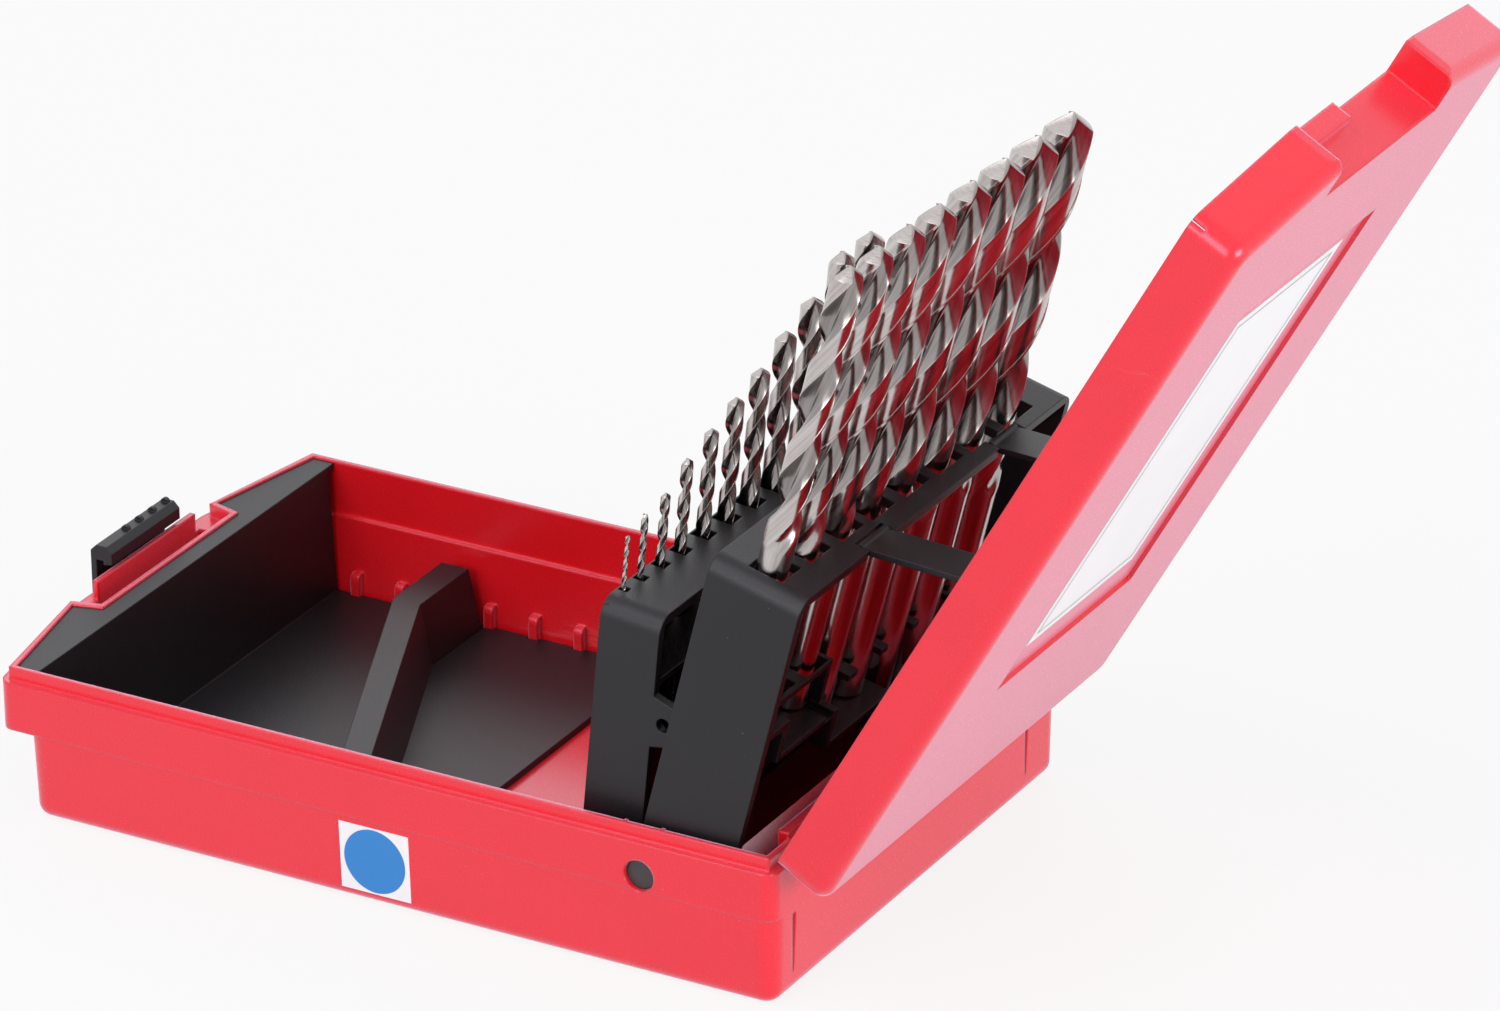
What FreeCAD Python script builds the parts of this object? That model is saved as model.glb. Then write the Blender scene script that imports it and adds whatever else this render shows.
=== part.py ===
"""Parametric model of a hinged drill bit case, in millimetres.

A shallow moulded tub carries two drill racks on side pins.  The lid turns on a rod along the back
edge and draws the racks up through two straps.  A swinging clip on the front wall holds the lid.
X runs across the case, Y from the clip to the hinge and Z up from the table.
"""
import FreeCAD, Part
import math
import os

import Sketcher

SIZES = {
    # Tub
    "tub_width": 115.5,
    "back_reach": 87.35,
    "bow_reach": 94.0,
    "bow_rise": 5.6,
    "bow_half": 24.6,
    "band_low": 18.6,
    "band_top": 28.9,
    "lip_rise": 2.8,
    "lip_inset": 1.5,
    "lip_wall": 1.1,
    "lip_turn_half": 25.6,
    "rim_half": 23.9,
    "rim_behind": 7.7,
    "ledge_drop": 8.9,
    "tub_wall": 1.5,
    "tub_behind": 11.2,
    "tub_side_inset": 0.15,
    "tub_draft": 1.8,
    "floor_top": 2.0,
    "side_room": 3.45,
    "corner_radius": 3.0,
    "lower_radius": 4.0,
    "foot_radius": 3.0,
    "tower_half": 18.0,
    "tower_behind": 1.8,
    "tower_thick": 1.2,
    "tower_rise": 4.1,
    "tower_room": 1.5,
    "ear_proud": 2.3,
    "ear_high": 4.4,
    "ear_wall": 2.4,
    "foot_rib_high": 6.2,
    "foot_rib_wide": 2.1,
    "foot_rib_deep": 2.3,
    "foot_rib_round": 0.7,
    "notch_clear": 0.25,
    "foot_rib_behind": 18.0,
    "foot_rib_pitch": 10.75,
    "arch_inset": 11.75,
    "arch_rise": 1.3,
    "arch_deep": 4.5,
    "wedge_near": 8.25,
    "wedge_far": 13.75,
    "wedge_wide": 1.2,
    "wedge_deep": 0.8,
    "wedge_low": 4.7,
    "wedge_drop": 1.1,
    "tick_apart": 4.1,
    "tick_wide": 0.8,
    "tick_proud": 0.5,
    "tick_high": 1.9,
    # Rack pivots
    "pivot_before": 29.45,
    "pivot_drop": 7.1,
    "pivot_head_radius": 3.2,
    "pivot_radius": 1.6,
    "pivot_clear": 0.07,
    "head_clear": 0.1,
    "pivot_sink": 1.1,
    # Hinge
    "hinge_behind": 0.14,
    "hinge_rise": 0.96,
    "rod_radius": 1.1,
    "rod_clear": 0.07,
    "knuckle_radius": 2.2,
    "knuckle_clear": 0.3,
    "hinge_inset": 10.75,
    "knuckle_long": 16.0,
    "boss_over": 0.5,
    "boss_deep": 1.9,
    "boss_low": 26.0,
    "boss_high": 33.1,
    # Insert
    "shelf_drop": 0.4,
    "shelf_wall": 1.3,
    "shelf_behind": 13.05,
    "insert_wall": 0.8,
    "insert_draft": 1.4,
    "plate_thick": 1.5,
    "plate_reach": 61.3,
    "insert_clear": 0.15,
    # Tip rest
    "rest_high": 13.1,
    "rest_wide": 6.4,
    "rest_far": 3.3,
    "rest_bend": 32.0,
    "rest_mid": 30.2,
    "rest_near": 0.7,
    "rest_reach": 110.7,
    "rest_mid_reach": 83.7,
    "rest_near_reach": 73.4,
    "rest_foot": 2.7,
    # Lid
    "lid_inset": 0.45,
    "lid_before": 0.05,
    "lid_rise": 0.4,
    "lid_over": 0.3,
    "nose_over": 1.0,
    "nose_half": 24.9,
    "notch_half": 22.4,
    "notch_behind": 6.8,
    "lid_deep": 11.7,
    "lid_plate": 1.9,
    "lid_wall": 1.6,
    "rim_wall": 0.8,
    "rebate_deep": 3.0,
    "lid_corner": 4.0,
    "lid_round": 3.0,
    "lid_swing": 120.0,
    "field_half": 27.0,
    "field_start": 44.0,
    "field_end": 146.0,
    "field_deep": 0.8,
    "tab_start": 1.0,
    "tab_end": 18.0,
    "tab_proud": 2.5,
    "tab_low": 0.8,
    "tab_high": 3.6,
    # Latch clip
    "clip_near": 12.0,
    "clip_far": 13.0,
    "clip_clear": 0.8,
    "clip_proud": 2.5,
    "clip_plate": 1.3,
    "clip_rise": 4.7,
    "clip_nib": 5.1,
    "clip_nib_deep": 2.1,
    "clip_nib_rise": 0.6,
    "clip_block": 3.2,
    "nib_slope": 0.4,
    "latch_proud": 0.4,
    "latch_rise": 2.2,
    "latch_pin_radius": 0.8,
    "latch_pin_clear": 0.06,
    "latch_barrel": 1.8,
    "bump_radius": 0.9,
    "bump_pitch": 4.85,
    # Racks
    "rear_lean": 14.9,
    "rear_gap": 0.4,
    "rear_front": 3.3,
    "rear_back": 16.8,
    "rear_top": 70.65,
    "rear_ear": 4.6,
    "rear_axis": 3.2,
    "rear_show": 67.5,
    "guide_high": 39.0,
    "guide_low": 30.0,
    "guide_step": 19.6,
    "guide_front": 1.8,
    "guide_back": 12.0,
    "seat_back": 15.5,
    "front_lean": 6.3,
    "front_gap": 0.3,
    "front_front": 16.4,
    "front_back": 3.4,
    "front_top": 52.1,
    "front_ear": 3.4,
    "front_axis": 15.8,
    "front_guide": 38.5,
    "lug_low": 26.0,
    "lug_high": 34.0,
    "lug_back": 1.8,
    "lug_hole": 1.5,
    "rack_wall": 2.0,
    "seat_wall": 1.4,
    "rear_foot": 17.5,
    "front_foot": 9.0,
    "front_web": 0.9,
    "rack_round": 4.0,
    "bore_clear": 0.4,
    # Lift straps
    "strap_near": 22.65,
    "strap_far": 29.0,
    "strap_half": 4.95,
    "strap_thick": 1.3,
    "strap_deep": 14.8,
    "strap_drop": 1.0,
    "strap_barrel": 1.1,
    "strap_pin": 0.6,
    "strap_pin_clear": 0.06,
    "strap_gap": 0.3,
    "fork_half": 1.4,
    "fork_long": 6.0,
    "cross_radius": 0.9,
    "rib_half": 1.05,
    "rib_along": 57.9,
    "rib_long": 8.8,
    "rib_base": 3.3,
    "rib_clear": 0.5,
    "slot_wall": 1.0,
    "slot_top": 8.0,
    "hook_gap": 0.28,
    "hook_lift": 1.8,
    # Labels
    "label_near": 23.0,
    "label_far": 20.0,
    "label_start": 53.0,
    "label_end": 141.0,
    "label_thick": 0.12,
    "side_label_front": 9.8,
    "side_label_back": 6.0,
    "side_label_low": 2.6,
    "side_label_high": 17.2,
    # Shared
    "overrun": 5.0,
}

# Drill diameter, whole length and place across the case, rear row from the near side
REAR_DRILLS = (
    (6.5, 101.0, 46.8),
    (7.0, 109.0, 36.3),
    (7.5, 109.0, 24.8),
    (8.0, 117.0, 13.7),
    (8.5, 117.0, 1.1),
    (9.0, 125.0, -11.2),
    (9.5, 125.0, -23.8),
    (10.0, 133.0, -37.1),
)

# The same for the front row, with the length that stands above the bar
FRONT_DRILLS = (
    (1.0, 34.0, 45.2, 11.5),
    (1.5, 40.0, 39.4, 13.9),
    (2.0, 49.0, 32.3, 15.4),
    (2.5, 57.0, 25.1, 19.9),
    (3.0, 61.0, 16.8, 22.9),
    (3.5, 70.0, 8.4, 26.2),
    (4.0, 75.0, -0.2, 29.1),
    (4.5, 80.0, -8.9, 33.6),
    (5.0, 86.0, -18.4, 37.2),
    (5.5, 93.0, -28.6, 43.2),
    (6.0, 93.0, -39.4, 43.2),
)

POINT_SHARE = 0.3
CHISEL_SHARE = 0.07
ARCH_SHARE = 0.33
PLATE_SHARES = (1.5, 0.25)
LUG_SHARE = 0.25
WEDGE_SHARE = 0.3
FOOT_RIBS = 6
BUMPS = 4
DRAWN_HALF = 53.9
FLAT = "FlatFace"

doc = FreeCAD.newDocument("drill_bit_case")
sheet = doc.addObject("Spreadsheet::Sheet", "Sizes")
sub_parts = []


class Measure:
    """A size that knows its number and the sheet expression that gives it."""

    def __init__(self, value, text):
        self.value = float(value)
        self.text = text

    def join(self, other, sign, value):
        """Return the measure that two measures make with one sign between them."""
        return Measure(value, f"({self.text} {sign} {measure(other).text})")

    def __add__(self, other):
        return self.join(other, "+", self.value + measure(other).value)

    def __radd__(self, other):
        return measure(other) + self

    def __sub__(self, other):
        return self.join(other, "-", self.value - measure(other).value)

    def __rsub__(self, other):
        return measure(other) - self

    def __mul__(self, other):
        return self.join(other, "*", self.value * measure(other).value)

    def __rmul__(self, other):
        return measure(other) * self

    def __truediv__(self, other):
        return self.join(other, "/", self.value / measure(other).value)

    def __neg__(self):
        return Measure(-self.value, f"(0 - {self.text})")

    def __float__(self):
        return self.value


def measure(value):
    """Return a value as a measure; a plain number keeps its own digits."""
    if isinstance(value, Measure):
        return value
    return Measure(value, repr(float(value)))


class SheetSizes:
    """The sheet's cells, each read as a measure under its own word."""

    def __init__(self, table):
        for row, (word, number) in enumerate(table.items(), start=1):
            sheet.set(f"A{row}", word)
            sheet.set(f"B{row}", str(number))
            sheet.setAlias(f"B{row}", word)
            setattr(self, word, Measure(number, f"Sizes.{word}"))
        doc.recompute()


size = SheetSizes(SIZES)


def origin_plane(body, role):
    """Return the origin plane of a body that has the given role."""
    return next(item for item in body.Origin.OriginFeatures if item.Role == role)


def new_body(label):
    """Start a sub-part and remember it for the export."""
    body = doc.addObject("PartDesign::Body", label)
    body.Label = label
    sub_parts.append(body)
    return body


def new_sketch(body, role, offset=0):
    """Add a sketch on an origin plane, moved along the plane's normal."""
    offset = measure(offset)
    sketch = body.newObject("Sketcher::SketchObject", f"{body.Label}_sketch")
    sketch.AttachmentSupport = (origin_plane(body, role), [""])
    sketch.MapMode = FLAT
    sketch.AttachmentOffset = FreeCAD.Placement(FreeCAD.Vector(0, 0, offset.value), FreeCAD.Rotation())
    sketch.setExpression("AttachmentOffset.Base.z", offset.text)
    return sketch


def pin_point(sketch, shape, corner, across, along):
    """Tie a point of the sketch to two measures."""
    for kind, value in (("DistanceX", measure(across)), ("DistanceY", measure(along))):
        index = sketch.addConstraint(Sketcher.Constraint(kind, shape, corner, value.value))
        sketch.setExpression(f"Constraints[{index}]", value.text)


def polygon(sketch, points):
    """Draw a closed outline of straight lines through measured points."""
    spots = [FreeCAD.Vector(float(across), float(along), 0) for across, along in points]
    first = sketch.GeometryCount
    count = len(spots)
    for index in range(count):
        sketch.addGeometry(Part.LineSegment(spots[index], spots[(index + 1) % count]), False)
    for index in range(count):
        following = first + (index + 1) % count
        sketch.addConstraint(Sketcher.Constraint("Coincident", first + index, 2, following, 1))
    for index, (across, along) in enumerate(points):
        pin_point(sketch, first + index, 1, across, along)


def circle(sketch, across, along, radius):
    """Draw a circle of a measured radius about a measured centre."""
    centre = FreeCAD.Vector(float(across), float(along), 0)
    shape = sketch.addGeometry(Part.Circle(centre, FreeCAD.Vector(0, 0, 1), float(radius)), False)
    pin_point(sketch, shape, 3, across, along)
    index = sketch.addConstraint(Sketcher.Constraint("Radius", shape, float(radius)))
    sketch.setExpression(f"Constraints[{index}]", measure(radius).text)


def box_points(low_across, high_across, low_along, high_along):
    """Return the four corners of an upright rectangle."""
    return [
        (low_across, low_along),
        (high_across, low_along),
        (high_across, high_along),
        (low_across, high_along),
    ]


def rounded_box(sketch, limits, radius):
    """Draw an upright rectangle with round corners."""
    low_across, high_across, low_along, high_along = limits
    spots = [
        (low_across + radius, low_along),
        (high_across - radius, low_along),
        (high_across, low_along + radius),
        (high_across, high_along - radius),
        (high_across - radius, high_along),
        (low_across + radius, high_along),
        (low_across, high_along - radius),
        (low_across, low_along + radius),
    ]
    centres = [
        (high_across - radius, low_along + radius),
        (high_across - radius, high_along - radius),
        (low_across + radius, high_along - radius),
        (low_across + radius, low_along + radius),
    ]
    flat = [FreeCAD.Vector(float(across), float(along), 0) for across, along in spots]
    quarter = math.pi / 2
    lines = []
    arcs = []
    for side in range(4):
        line = Part.LineSegment(flat[2 * side], flat[2 * side + 1])
        lines.append(sketch.addGeometry(line, False))
        middle = FreeCAD.Vector(*[float(item) for item in centres[side]], 0)
        ring = Part.Circle(middle, FreeCAD.Vector(0, 0, 1), float(radius))
        start = (side - 1) * quarter
        arcs.append(sketch.addGeometry(Part.ArcOfCircle(ring, start, start + quarter), False))
    for side in range(4):
        sketch.addConstraint(Sketcher.Constraint("Coincident", lines[side], 2, arcs[side], 1))
        sketch.addConstraint(Sketcher.Constraint("Coincident", arcs[side], 2, lines[(side + 1) % 4], 1))
        pin_point(sketch, lines[side], 1, *spots[2 * side])
        pin_point(sketch, lines[side], 2, *spots[2 * side + 1])
        index = sketch.addConstraint(Sketcher.Constraint("Radius", arcs[side], float(radius)))
        sketch.setExpression(f"Constraints[{index}]", measure(radius).text)


def grow(body, kind, sketch, length, backwards=False, draft=None):
    """Pad or pocket a sketch by a measured length."""
    length = measure(length)
    feature = body.newObject(kind, f"{body.Label}_{kind.split('::')[1].lower()}")
    feature.Profile = sketch
    feature.Length = length.value
    feature.setExpression("Length", length.text)
    feature.Reversed = backwards
    feature.Refine = True
    if draft is not None:
        feature.TaperAngle = draft.value
        feature.setExpression("TaperAngle", draft.text)
    sketch.Visibility = False
    doc.recompute()
    return feature


def pad(body, sketch, length, backwards=False, draft=None):
    """Grow a solid along the sketch's normal, or against it."""
    return grow(body, "PartDesign::Pad", sketch, length, backwards, draft)


def pocket(body, sketch, length, backwards=False, draft=None):
    """Cut against the sketch's normal, or along it when backwards."""
    return grow(body, "PartDesign::Pocket", sketch, length, backwards, draft)


def edges_where(feature, test):
    """Name the edges of a feature whose two ends pass a test together."""
    names = []
    for index, edge in enumerate(feature.Shape.Edges, start=1):
        ends = [vertex.Point for vertex in edge.Vertexes]
        if len(ends) == 2 and test(*ends):
            names.append(f"Edge{index}")
    return names


def upright(start, end):
    """Tell whether an edge stands straight up."""
    return near(start.x, end.x) and near(start.y, end.y)


def fillet(body, feature, test, radius):
    """Round the edges of a feature that pass a test."""
    rounding = body.newObject("PartDesign::Fillet", f"{body.Label}_fillet")
    rounding.Base = (feature, edges_where(feature, test))
    rounding.Radius = radius.value
    rounding.setExpression("Radius", radius.text)
    doc.recompute()
    return rounding


def near(value, wanted):
    """Tell whether two lengths agree to within the modelling tolerance."""
    return abs(value - float(wanted)) < TOUCH


TOUCH = 0.01


def place(body, across, along, up, turn):
    """Put a sub-part at a point and turn it about the X direction."""
    spots = [measure(item) for item in (across, along, up)]
    turn = measure(turn)
    base = FreeCAD.Vector(*[item.value for item in spots])
    body.Placement = FreeCAD.Placement(base, FreeCAD.Rotation(FreeCAD.Vector(1, 0, 0), turn.value))
    for axis, item in zip("xyz", spots):
        body.setExpression(f"Placement.Base.{axis}", item.text)


def sine(angle):
    """Sine of a measured angle in degrees."""
    return Measure(math.sin(math.radians(angle.value)), f"sin({angle.text} * 1 deg)")


def cosine(angle):
    """Cosine of a measured angle in degrees."""
    return Measure(math.cos(math.radians(angle.value)), f"cos({angle.text} * 1 deg)")


def distance(across, up):
    """Length of the line that two measured legs span."""
    return Measure(math.hypot(across.value, up.value), f"sqrt({across.text} ^ 2 + {up.text} ^ 2)")


def slope(rise, run):
    """Angle in degrees of a line with a measured rise and run."""
    angle = math.degrees(math.atan2(rise.value, run.value))
    return Measure(angle, f"(atan({rise.text} / {run.text}) / 1 deg)")


# Places that several sub-parts share
tub_half = size.tub_width / 2
lip_top = size.band_top + size.lip_rise
lower_half = tub_half - size.tub_side_inset
knuckle_cut = size.knuckle_radius + size.knuckle_clear
inner_knuckle = size.knuckle_long / 2
clip_gap_near = size.clip_near + size.clip_clear
clip_gap_far = size.clip_far + size.clip_clear
rear_pin_high = size.rear_top - size.strap_drop
inner_half = tub_half - size.side_room
pivot_y = size.back_reach - size.pivot_before
pivot_z = size.band_top - size.pivot_drop
plate_back = size.plate_reach - pivot_y
rest_front = size.rest_reach - pivot_y
rest_mid_front = size.rest_mid_reach - pivot_y
rest_near_front = size.rest_near_reach - pivot_y
rear_half = inner_half - size.rear_gap
front_half = rear_half - size.rack_wall - size.front_gap
spread = rear_half / DRAWN_HALF
hinge_half = tub_half - size.hinge_inset
outer_knuckle = hinge_half - size.knuckle_long
front_reach = size.bow_reach - size.bow_rise
rim_reach = size.bow_reach - size.rim_behind
tub_front = size.bow_reach - size.tub_behind
tower_front = size.bow_reach - size.tower_behind
tower_back = tower_front - size.tower_thick
ear_front = size.bow_reach + size.ear_proud
shelf_edge = size.bow_reach - size.shelf_behind
latch_y = size.bow_reach + size.latch_proud
latch_z = size.band_low + size.latch_rise
clip_front = size.bow_reach + size.clip_proud
ledge_level = size.band_top - size.ledge_drop
tower_top = size.band_top + size.tower_rise
clip_top = tower_top + size.clip_rise
shelf_top = lip_top - size.shelf_drop
plate_top = size.floor_top + size.plate_thick
hinge_y = size.back_reach + size.hinge_behind
hinge_z = size.band_top + size.hinge_rise
lid_half = tub_half - size.lid_inset
lid_back = size.back_reach - size.lid_before
lid_base = size.band_top + size.lid_rise
lid_long = lid_back + front_reach + size.lid_over
nose_long = lid_back + size.bow_reach + size.nose_over
notch_long = lid_back + size.bow_reach - size.notch_behind


def bowed_outline(inset):
    """Plan outline of the tub with its bowed front, moved in by an inset."""
    side = tub_half - inset
    back = size.back_reach - inset
    corner = front_reach - inset
    bow = size.bow_reach - inset
    return [
        (side, back),
        (-side, back),
        (-side, -corner),
        (-size.bow_half, -bow),
        (size.bow_half, -bow),
        (side, -corner),
    ]


def lip_outline(inset):
    """Plan outline of the raised lip, which turns in round the clip's notch."""
    side = tub_half - inset
    back = size.back_reach - inset
    corner = front_reach - inset
    bow = size.bow_reach - inset
    turn = size.lip_turn_half - size.lip_inset + inset
    inner = size.rim_half - size.lip_inset + inset
    rim = rim_reach + size.lip_inset - inset
    return [
        (side, back),
        (-side, back),
        (-side, -corner),
        (-turn, -bow),
        (-inner, -rim),
        (inner, -rim),
        (turn, -bow),
        (side, -corner),
    ]


def knuckle_runs(owner):
    """Spans along the hinge that the tub or the lid holds."""
    gap = size.knuckle_clear
    if owner == "tub":
        return [
            (-hinge_half, -outer_knuckle),
            (-inner_knuckle, inner_knuckle),
            (outer_knuckle, hinge_half),
        ]
    return [(-outer_knuckle + gap, -inner_knuckle - gap), (inner_knuckle + gap, outer_knuckle - gap)]


def make_base_shell():
    """Mould the tub with its band, lip, clip tower, ears and hinge knuckles."""
    body = new_body("base_shell")
    band = new_sketch(body, "XY_Plane", size.band_low)
    polygon(band, bowed_outline(measure(0)))
    feature = pad(body, band, size.band_top - size.band_low)
    feature = fillet(body, feature, side_corner, size.corner_radius)

    lower = new_sketch(body, "XY_Plane", size.band_low)
    rounded_box(lower, (-lower_half, lower_half, -tub_front, size.back_reach), size.lower_radius)
    feature = pad(body, lower, size.band_low, True, -size.tub_draft)
    fillet(body, feature, foot_edge, size.foot_radius)

    lip = new_sketch(body, "XY_Plane", size.band_top)
    polygon(lip, lip_outline(size.lip_inset))
    pad(body, lip, size.lip_rise)

    tower = new_sketch(body, "XY_Plane", size.band_top)
    polygon(tower, box_points(-size.tower_half, size.tower_half, -tower_front, -tower_back))
    pad(body, tower, tower_top - size.band_top)

    upper_room = new_sketch(body, "XY_Plane", lip_top)
    polygon(upper_room, lip_outline(size.lip_inset + size.lip_wall))
    pocket(body, upper_room, lip_top - ledge_level)

    lower_room = new_sketch(body, "XY_Plane", ledge_level)
    room_front = tub_front - size.tub_wall
    room_back = size.back_reach - size.lip_inset - size.lip_wall
    polygon(lower_room, box_points(-inner_half, inner_half, -room_front, room_back))
    pocket(body, lower_room, ledge_level - size.floor_top, False, -size.tub_draft)

    clip_room = new_sketch(body, "XY_Plane", size.band_top)
    room_half = size.tower_half + size.tower_room
    polygon(clip_room, box_points(-room_half, room_half, -tower_back, -rim_reach))
    pocket(body, clip_room, size.band_top - size.band_low - size.tub_wall)

    recess = new_sketch(body, "XY_Plane", size.band_top)
    outside = size.bow_reach + size.overrun
    polygon(recess, box_points(-clip_gap_far, clip_gap_near, -outside, -tower_front))
    pocket(body, recess, size.band_top - size.band_low + size.tub_wall)

    for low, high in (
        (clip_gap_near, clip_gap_near + size.ear_wall),
        (-clip_gap_far - size.ear_wall, -clip_gap_far),
    ):
        ear = new_sketch(body, "XY_Plane", size.band_low)
        polygon(ear, box_points(low, high, -ear_front, -tower_front))
        pad(body, ear, size.ear_high)

    for low, high in knuckle_runs("tub"):
        knuckle = new_sketch(body, "YZ_Plane", low)
        circle(knuckle, hinge_y, hinge_z, size.knuckle_radius)
        pad(body, knuckle, high - low)
    for low, high in knuckle_runs("lid"):
        room = new_sketch(body, "YZ_Plane", low - size.knuckle_clear)
        circle(room, hinge_y, hinge_z, knuckle_cut)
        pocket(body, room, high - low + 2 * size.knuckle_clear, True)

    rod_hole = new_sketch(body, "YZ_Plane", -tub_half)
    circle(rod_hole, hinge_y, hinge_z, size.rod_radius + size.rod_clear)
    pocket(body, rod_hole, size.tub_width, True)

    latch_hole = new_sketch(body, "YZ_Plane", -tub_half)
    circle(latch_hole, -latch_y, latch_z, size.latch_pin_radius + size.latch_pin_clear)
    pocket(body, latch_hole, size.tub_width, True)

    pivot_hole = new_sketch(body, "YZ_Plane", -tub_half - size.overrun)
    circle(pivot_hole, pivot_y, pivot_z, size.pivot_head_radius + size.head_clear)
    pocket(body, pivot_hole, size.tub_width + 2 * size.overrun, True)

    hinge_bosses(body)
    foot_ribs(body)
    back_wedges(body)
    lip_ticks(body)
    arch_half = tub_half - size.arch_inset
    arch = new_sketch(body, "XZ_Plane", -size.back_reach)
    polygon(arch, [
        (-arch_half, measure(0)),
        (arch_half, measure(0)),
        (arch_half * ARCH_SHARE, size.arch_rise),
        (-arch_half * ARCH_SHARE, size.arch_rise),
    ])
    pocket(body, arch, size.arch_deep, True)


def hinge_bosses(body):
    """Thicken the back lip in front of both outer knuckles."""
    boss = new_sketch(body, "XY_Plane", size.boss_low)
    lip_face = size.back_reach - size.lip_inset - size.lip_wall
    start = lip_face - size.boss_deep
    end = lip_face + size.lip_wall / 2
    reach = hinge_half + size.boss_over
    polygon(boss, box_points(outer_knuckle, reach, start, end))
    polygon(boss, box_points(-reach, -outer_knuckle, start, end))
    pad(body, boss, size.boss_high - size.boss_low)


def side_corner(start, end):
    """Tell whether an edge is an upright corner of the band."""
    return upright(start, end) and near(abs(start.x), tub_half)


def foot_edge(start, end):
    """Tell whether an edge lies on the underside."""
    return near(start.z, 0) and near(end.z, 0)


def foot_ribs(body):
    """Add the small round-topped ribs along the foot of both long walls."""
    start = size.foot_rib_behind - size.bow_reach
    rib = new_sketch(body, "XZ_Plane", -start - size.foot_rib_wide)
    reach = inner_half - size.foot_rib_deep
    root = inner_half + size.side_room / 2
    low = size.floor_top
    high = low + size.foot_rib_high
    turn = size.foot_rib_round
    for side in (-1, 1):
        polygon(rib, [
            (side * reach, low),
            (side * root, low),
            (side * root, high),
            (side * (reach + 2 * turn), high),
            (side * (reach + turn / 2), high - turn / 2),
            (side * reach, high - 2 * turn),
        ])
    first = pad(body, rib, size.foot_rib_wide)
    pattern = body.newObject("PartDesign::LinearPattern", "base_shell_pattern")
    pattern.Originals = [first]
    pattern.Direction = (rib, ["N_Axis"])
    pattern.Reversed = True
    run = size.foot_rib_pitch * (FOOT_RIBS - 1)
    pattern.Length = run.value
    pattern.setExpression("Length", run.text)
    pattern.Occurrences = FOOT_RIBS
    body.Tip = pattern
    doc.recompute()


def back_wedges(body):
    """Cut the two slender wedge marks into the back wall."""
    for middle in (tub_half - size.wedge_near, size.wedge_far - tub_half):
        mark = new_sketch(body, "XZ_Plane", -size.back_reach - size.overrun)
        half = size.wedge_wide / 2
        foot = half * WEDGE_SHARE
        high = size.band_low - size.wedge_drop
        polygon(mark, [
            (middle - foot, size.wedge_low),
            (middle + foot, size.wedge_low),
            (middle + half, high),
            (middle - half, high),
        ])
        pocket(body, mark, size.overrun + size.wedge_deep, True)


def lip_ticks(body):
    """Add the two small ticks inside the near lip that mark the racks' place."""
    inside = tub_half - size.lip_inset - size.lip_wall
    for middle in (pivot_y - size.tick_apart, pivot_y + size.tick_apart):
        tick = new_sketch(body, "XY_Plane", lip_top - size.tick_high)
        half = size.tick_wide / 2
        root = inside + size.lip_wall / 2
        polygon(tick, box_points(inside - size.tick_proud, root, middle - half, middle + half))
        pad(body, tick, size.tick_high)


def make_front_insert():
    """Mould the shelf, its drafted wall and the floor plate in one piece."""
    body = new_body("front_insert")
    clear = size.insert_clear
    inset = size.lip_inset + size.lip_wall + clear
    half = inner_half - size.insert_draft - clear
    shelf = new_sketch(body, "XY_Plane", shelf_top)
    outline = lip_outline(inset)[2:]
    edge = shelf_edge
    points = [(-tub_half + inset, -edge)] + outline + [(tub_half - inset, -edge)]
    polygon(shelf, points)
    pad(body, shelf, size.shelf_wall, True)

    wall = new_sketch(body, "YZ_Plane", -half)
    face = -edge
    foot = face + size.insert_draft
    polygon(wall, [
        (face, shelf_top),
        (foot, size.floor_top),
        (foot - size.insert_wall, size.floor_top),
        (face - size.insert_wall, shelf_top - size.shelf_wall / 2),
    ])
    pad(body, wall, 2 * half)

    plate = new_sketch(body, "XY_Plane", size.floor_top)
    start = foot - size.insert_wall / 2
    polygon(plate, box_points(-half, half, start, -plate_back))
    pad(body, plate, plate_top - size.floor_top)
    for number in range(FOOT_RIBS):
        low = size.foot_rib_behind - size.bow_reach + size.foot_rib_pitch * number - size.notch_clear
        high = low + size.foot_rib_wide + 2 * size.notch_clear
        notches = new_sketch(body, "XY_Plane", plate_top)
        reach = inner_half - size.foot_rib_deep - size.notch_clear
        polygon(notches, box_points(reach, inner_half, low, high))
        polygon(notches, box_points(-inner_half, -reach, low, high))
        pocket(body, notches, plate_top - size.floor_top)


def make_tip_rest():
    """Loft the cranked rib that stops the folded front row."""
    body = new_body("tip_rest")
    sections = []
    rest_far = inner_half - size.rest_far
    rest_near = inner_half - size.rest_near
    for level, widen in ((plate_top, size.rest_foot), (plate_top + size.rest_high, measure(0))):
        sketch = new_sketch(body, "XY_Plane", level)
        far_back = -rest_front + size.rest_wide + widen
        polygon(sketch, [
            (-rest_far, -rest_front),
            (-size.rest_bend, -rest_front),
            (size.rest_mid, -rest_mid_front),
            (rest_near - widen, -rest_near_front),
            (rest_near - widen, -rest_near_front + size.rest_wide + widen),
            (size.rest_mid, -rest_mid_front + size.rest_wide + widen),
            (-size.rest_bend, far_back),
            (-rest_far, far_back),
        ])
        sections.append(sketch)
    loft = body.newObject("PartDesign::AdditiveLoft", "tip_rest_loft")
    loft.Profile = sections[0]
    loft.Sections = [sections[1]]
    loft.Ruled = True
    doc.recompute()


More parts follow.
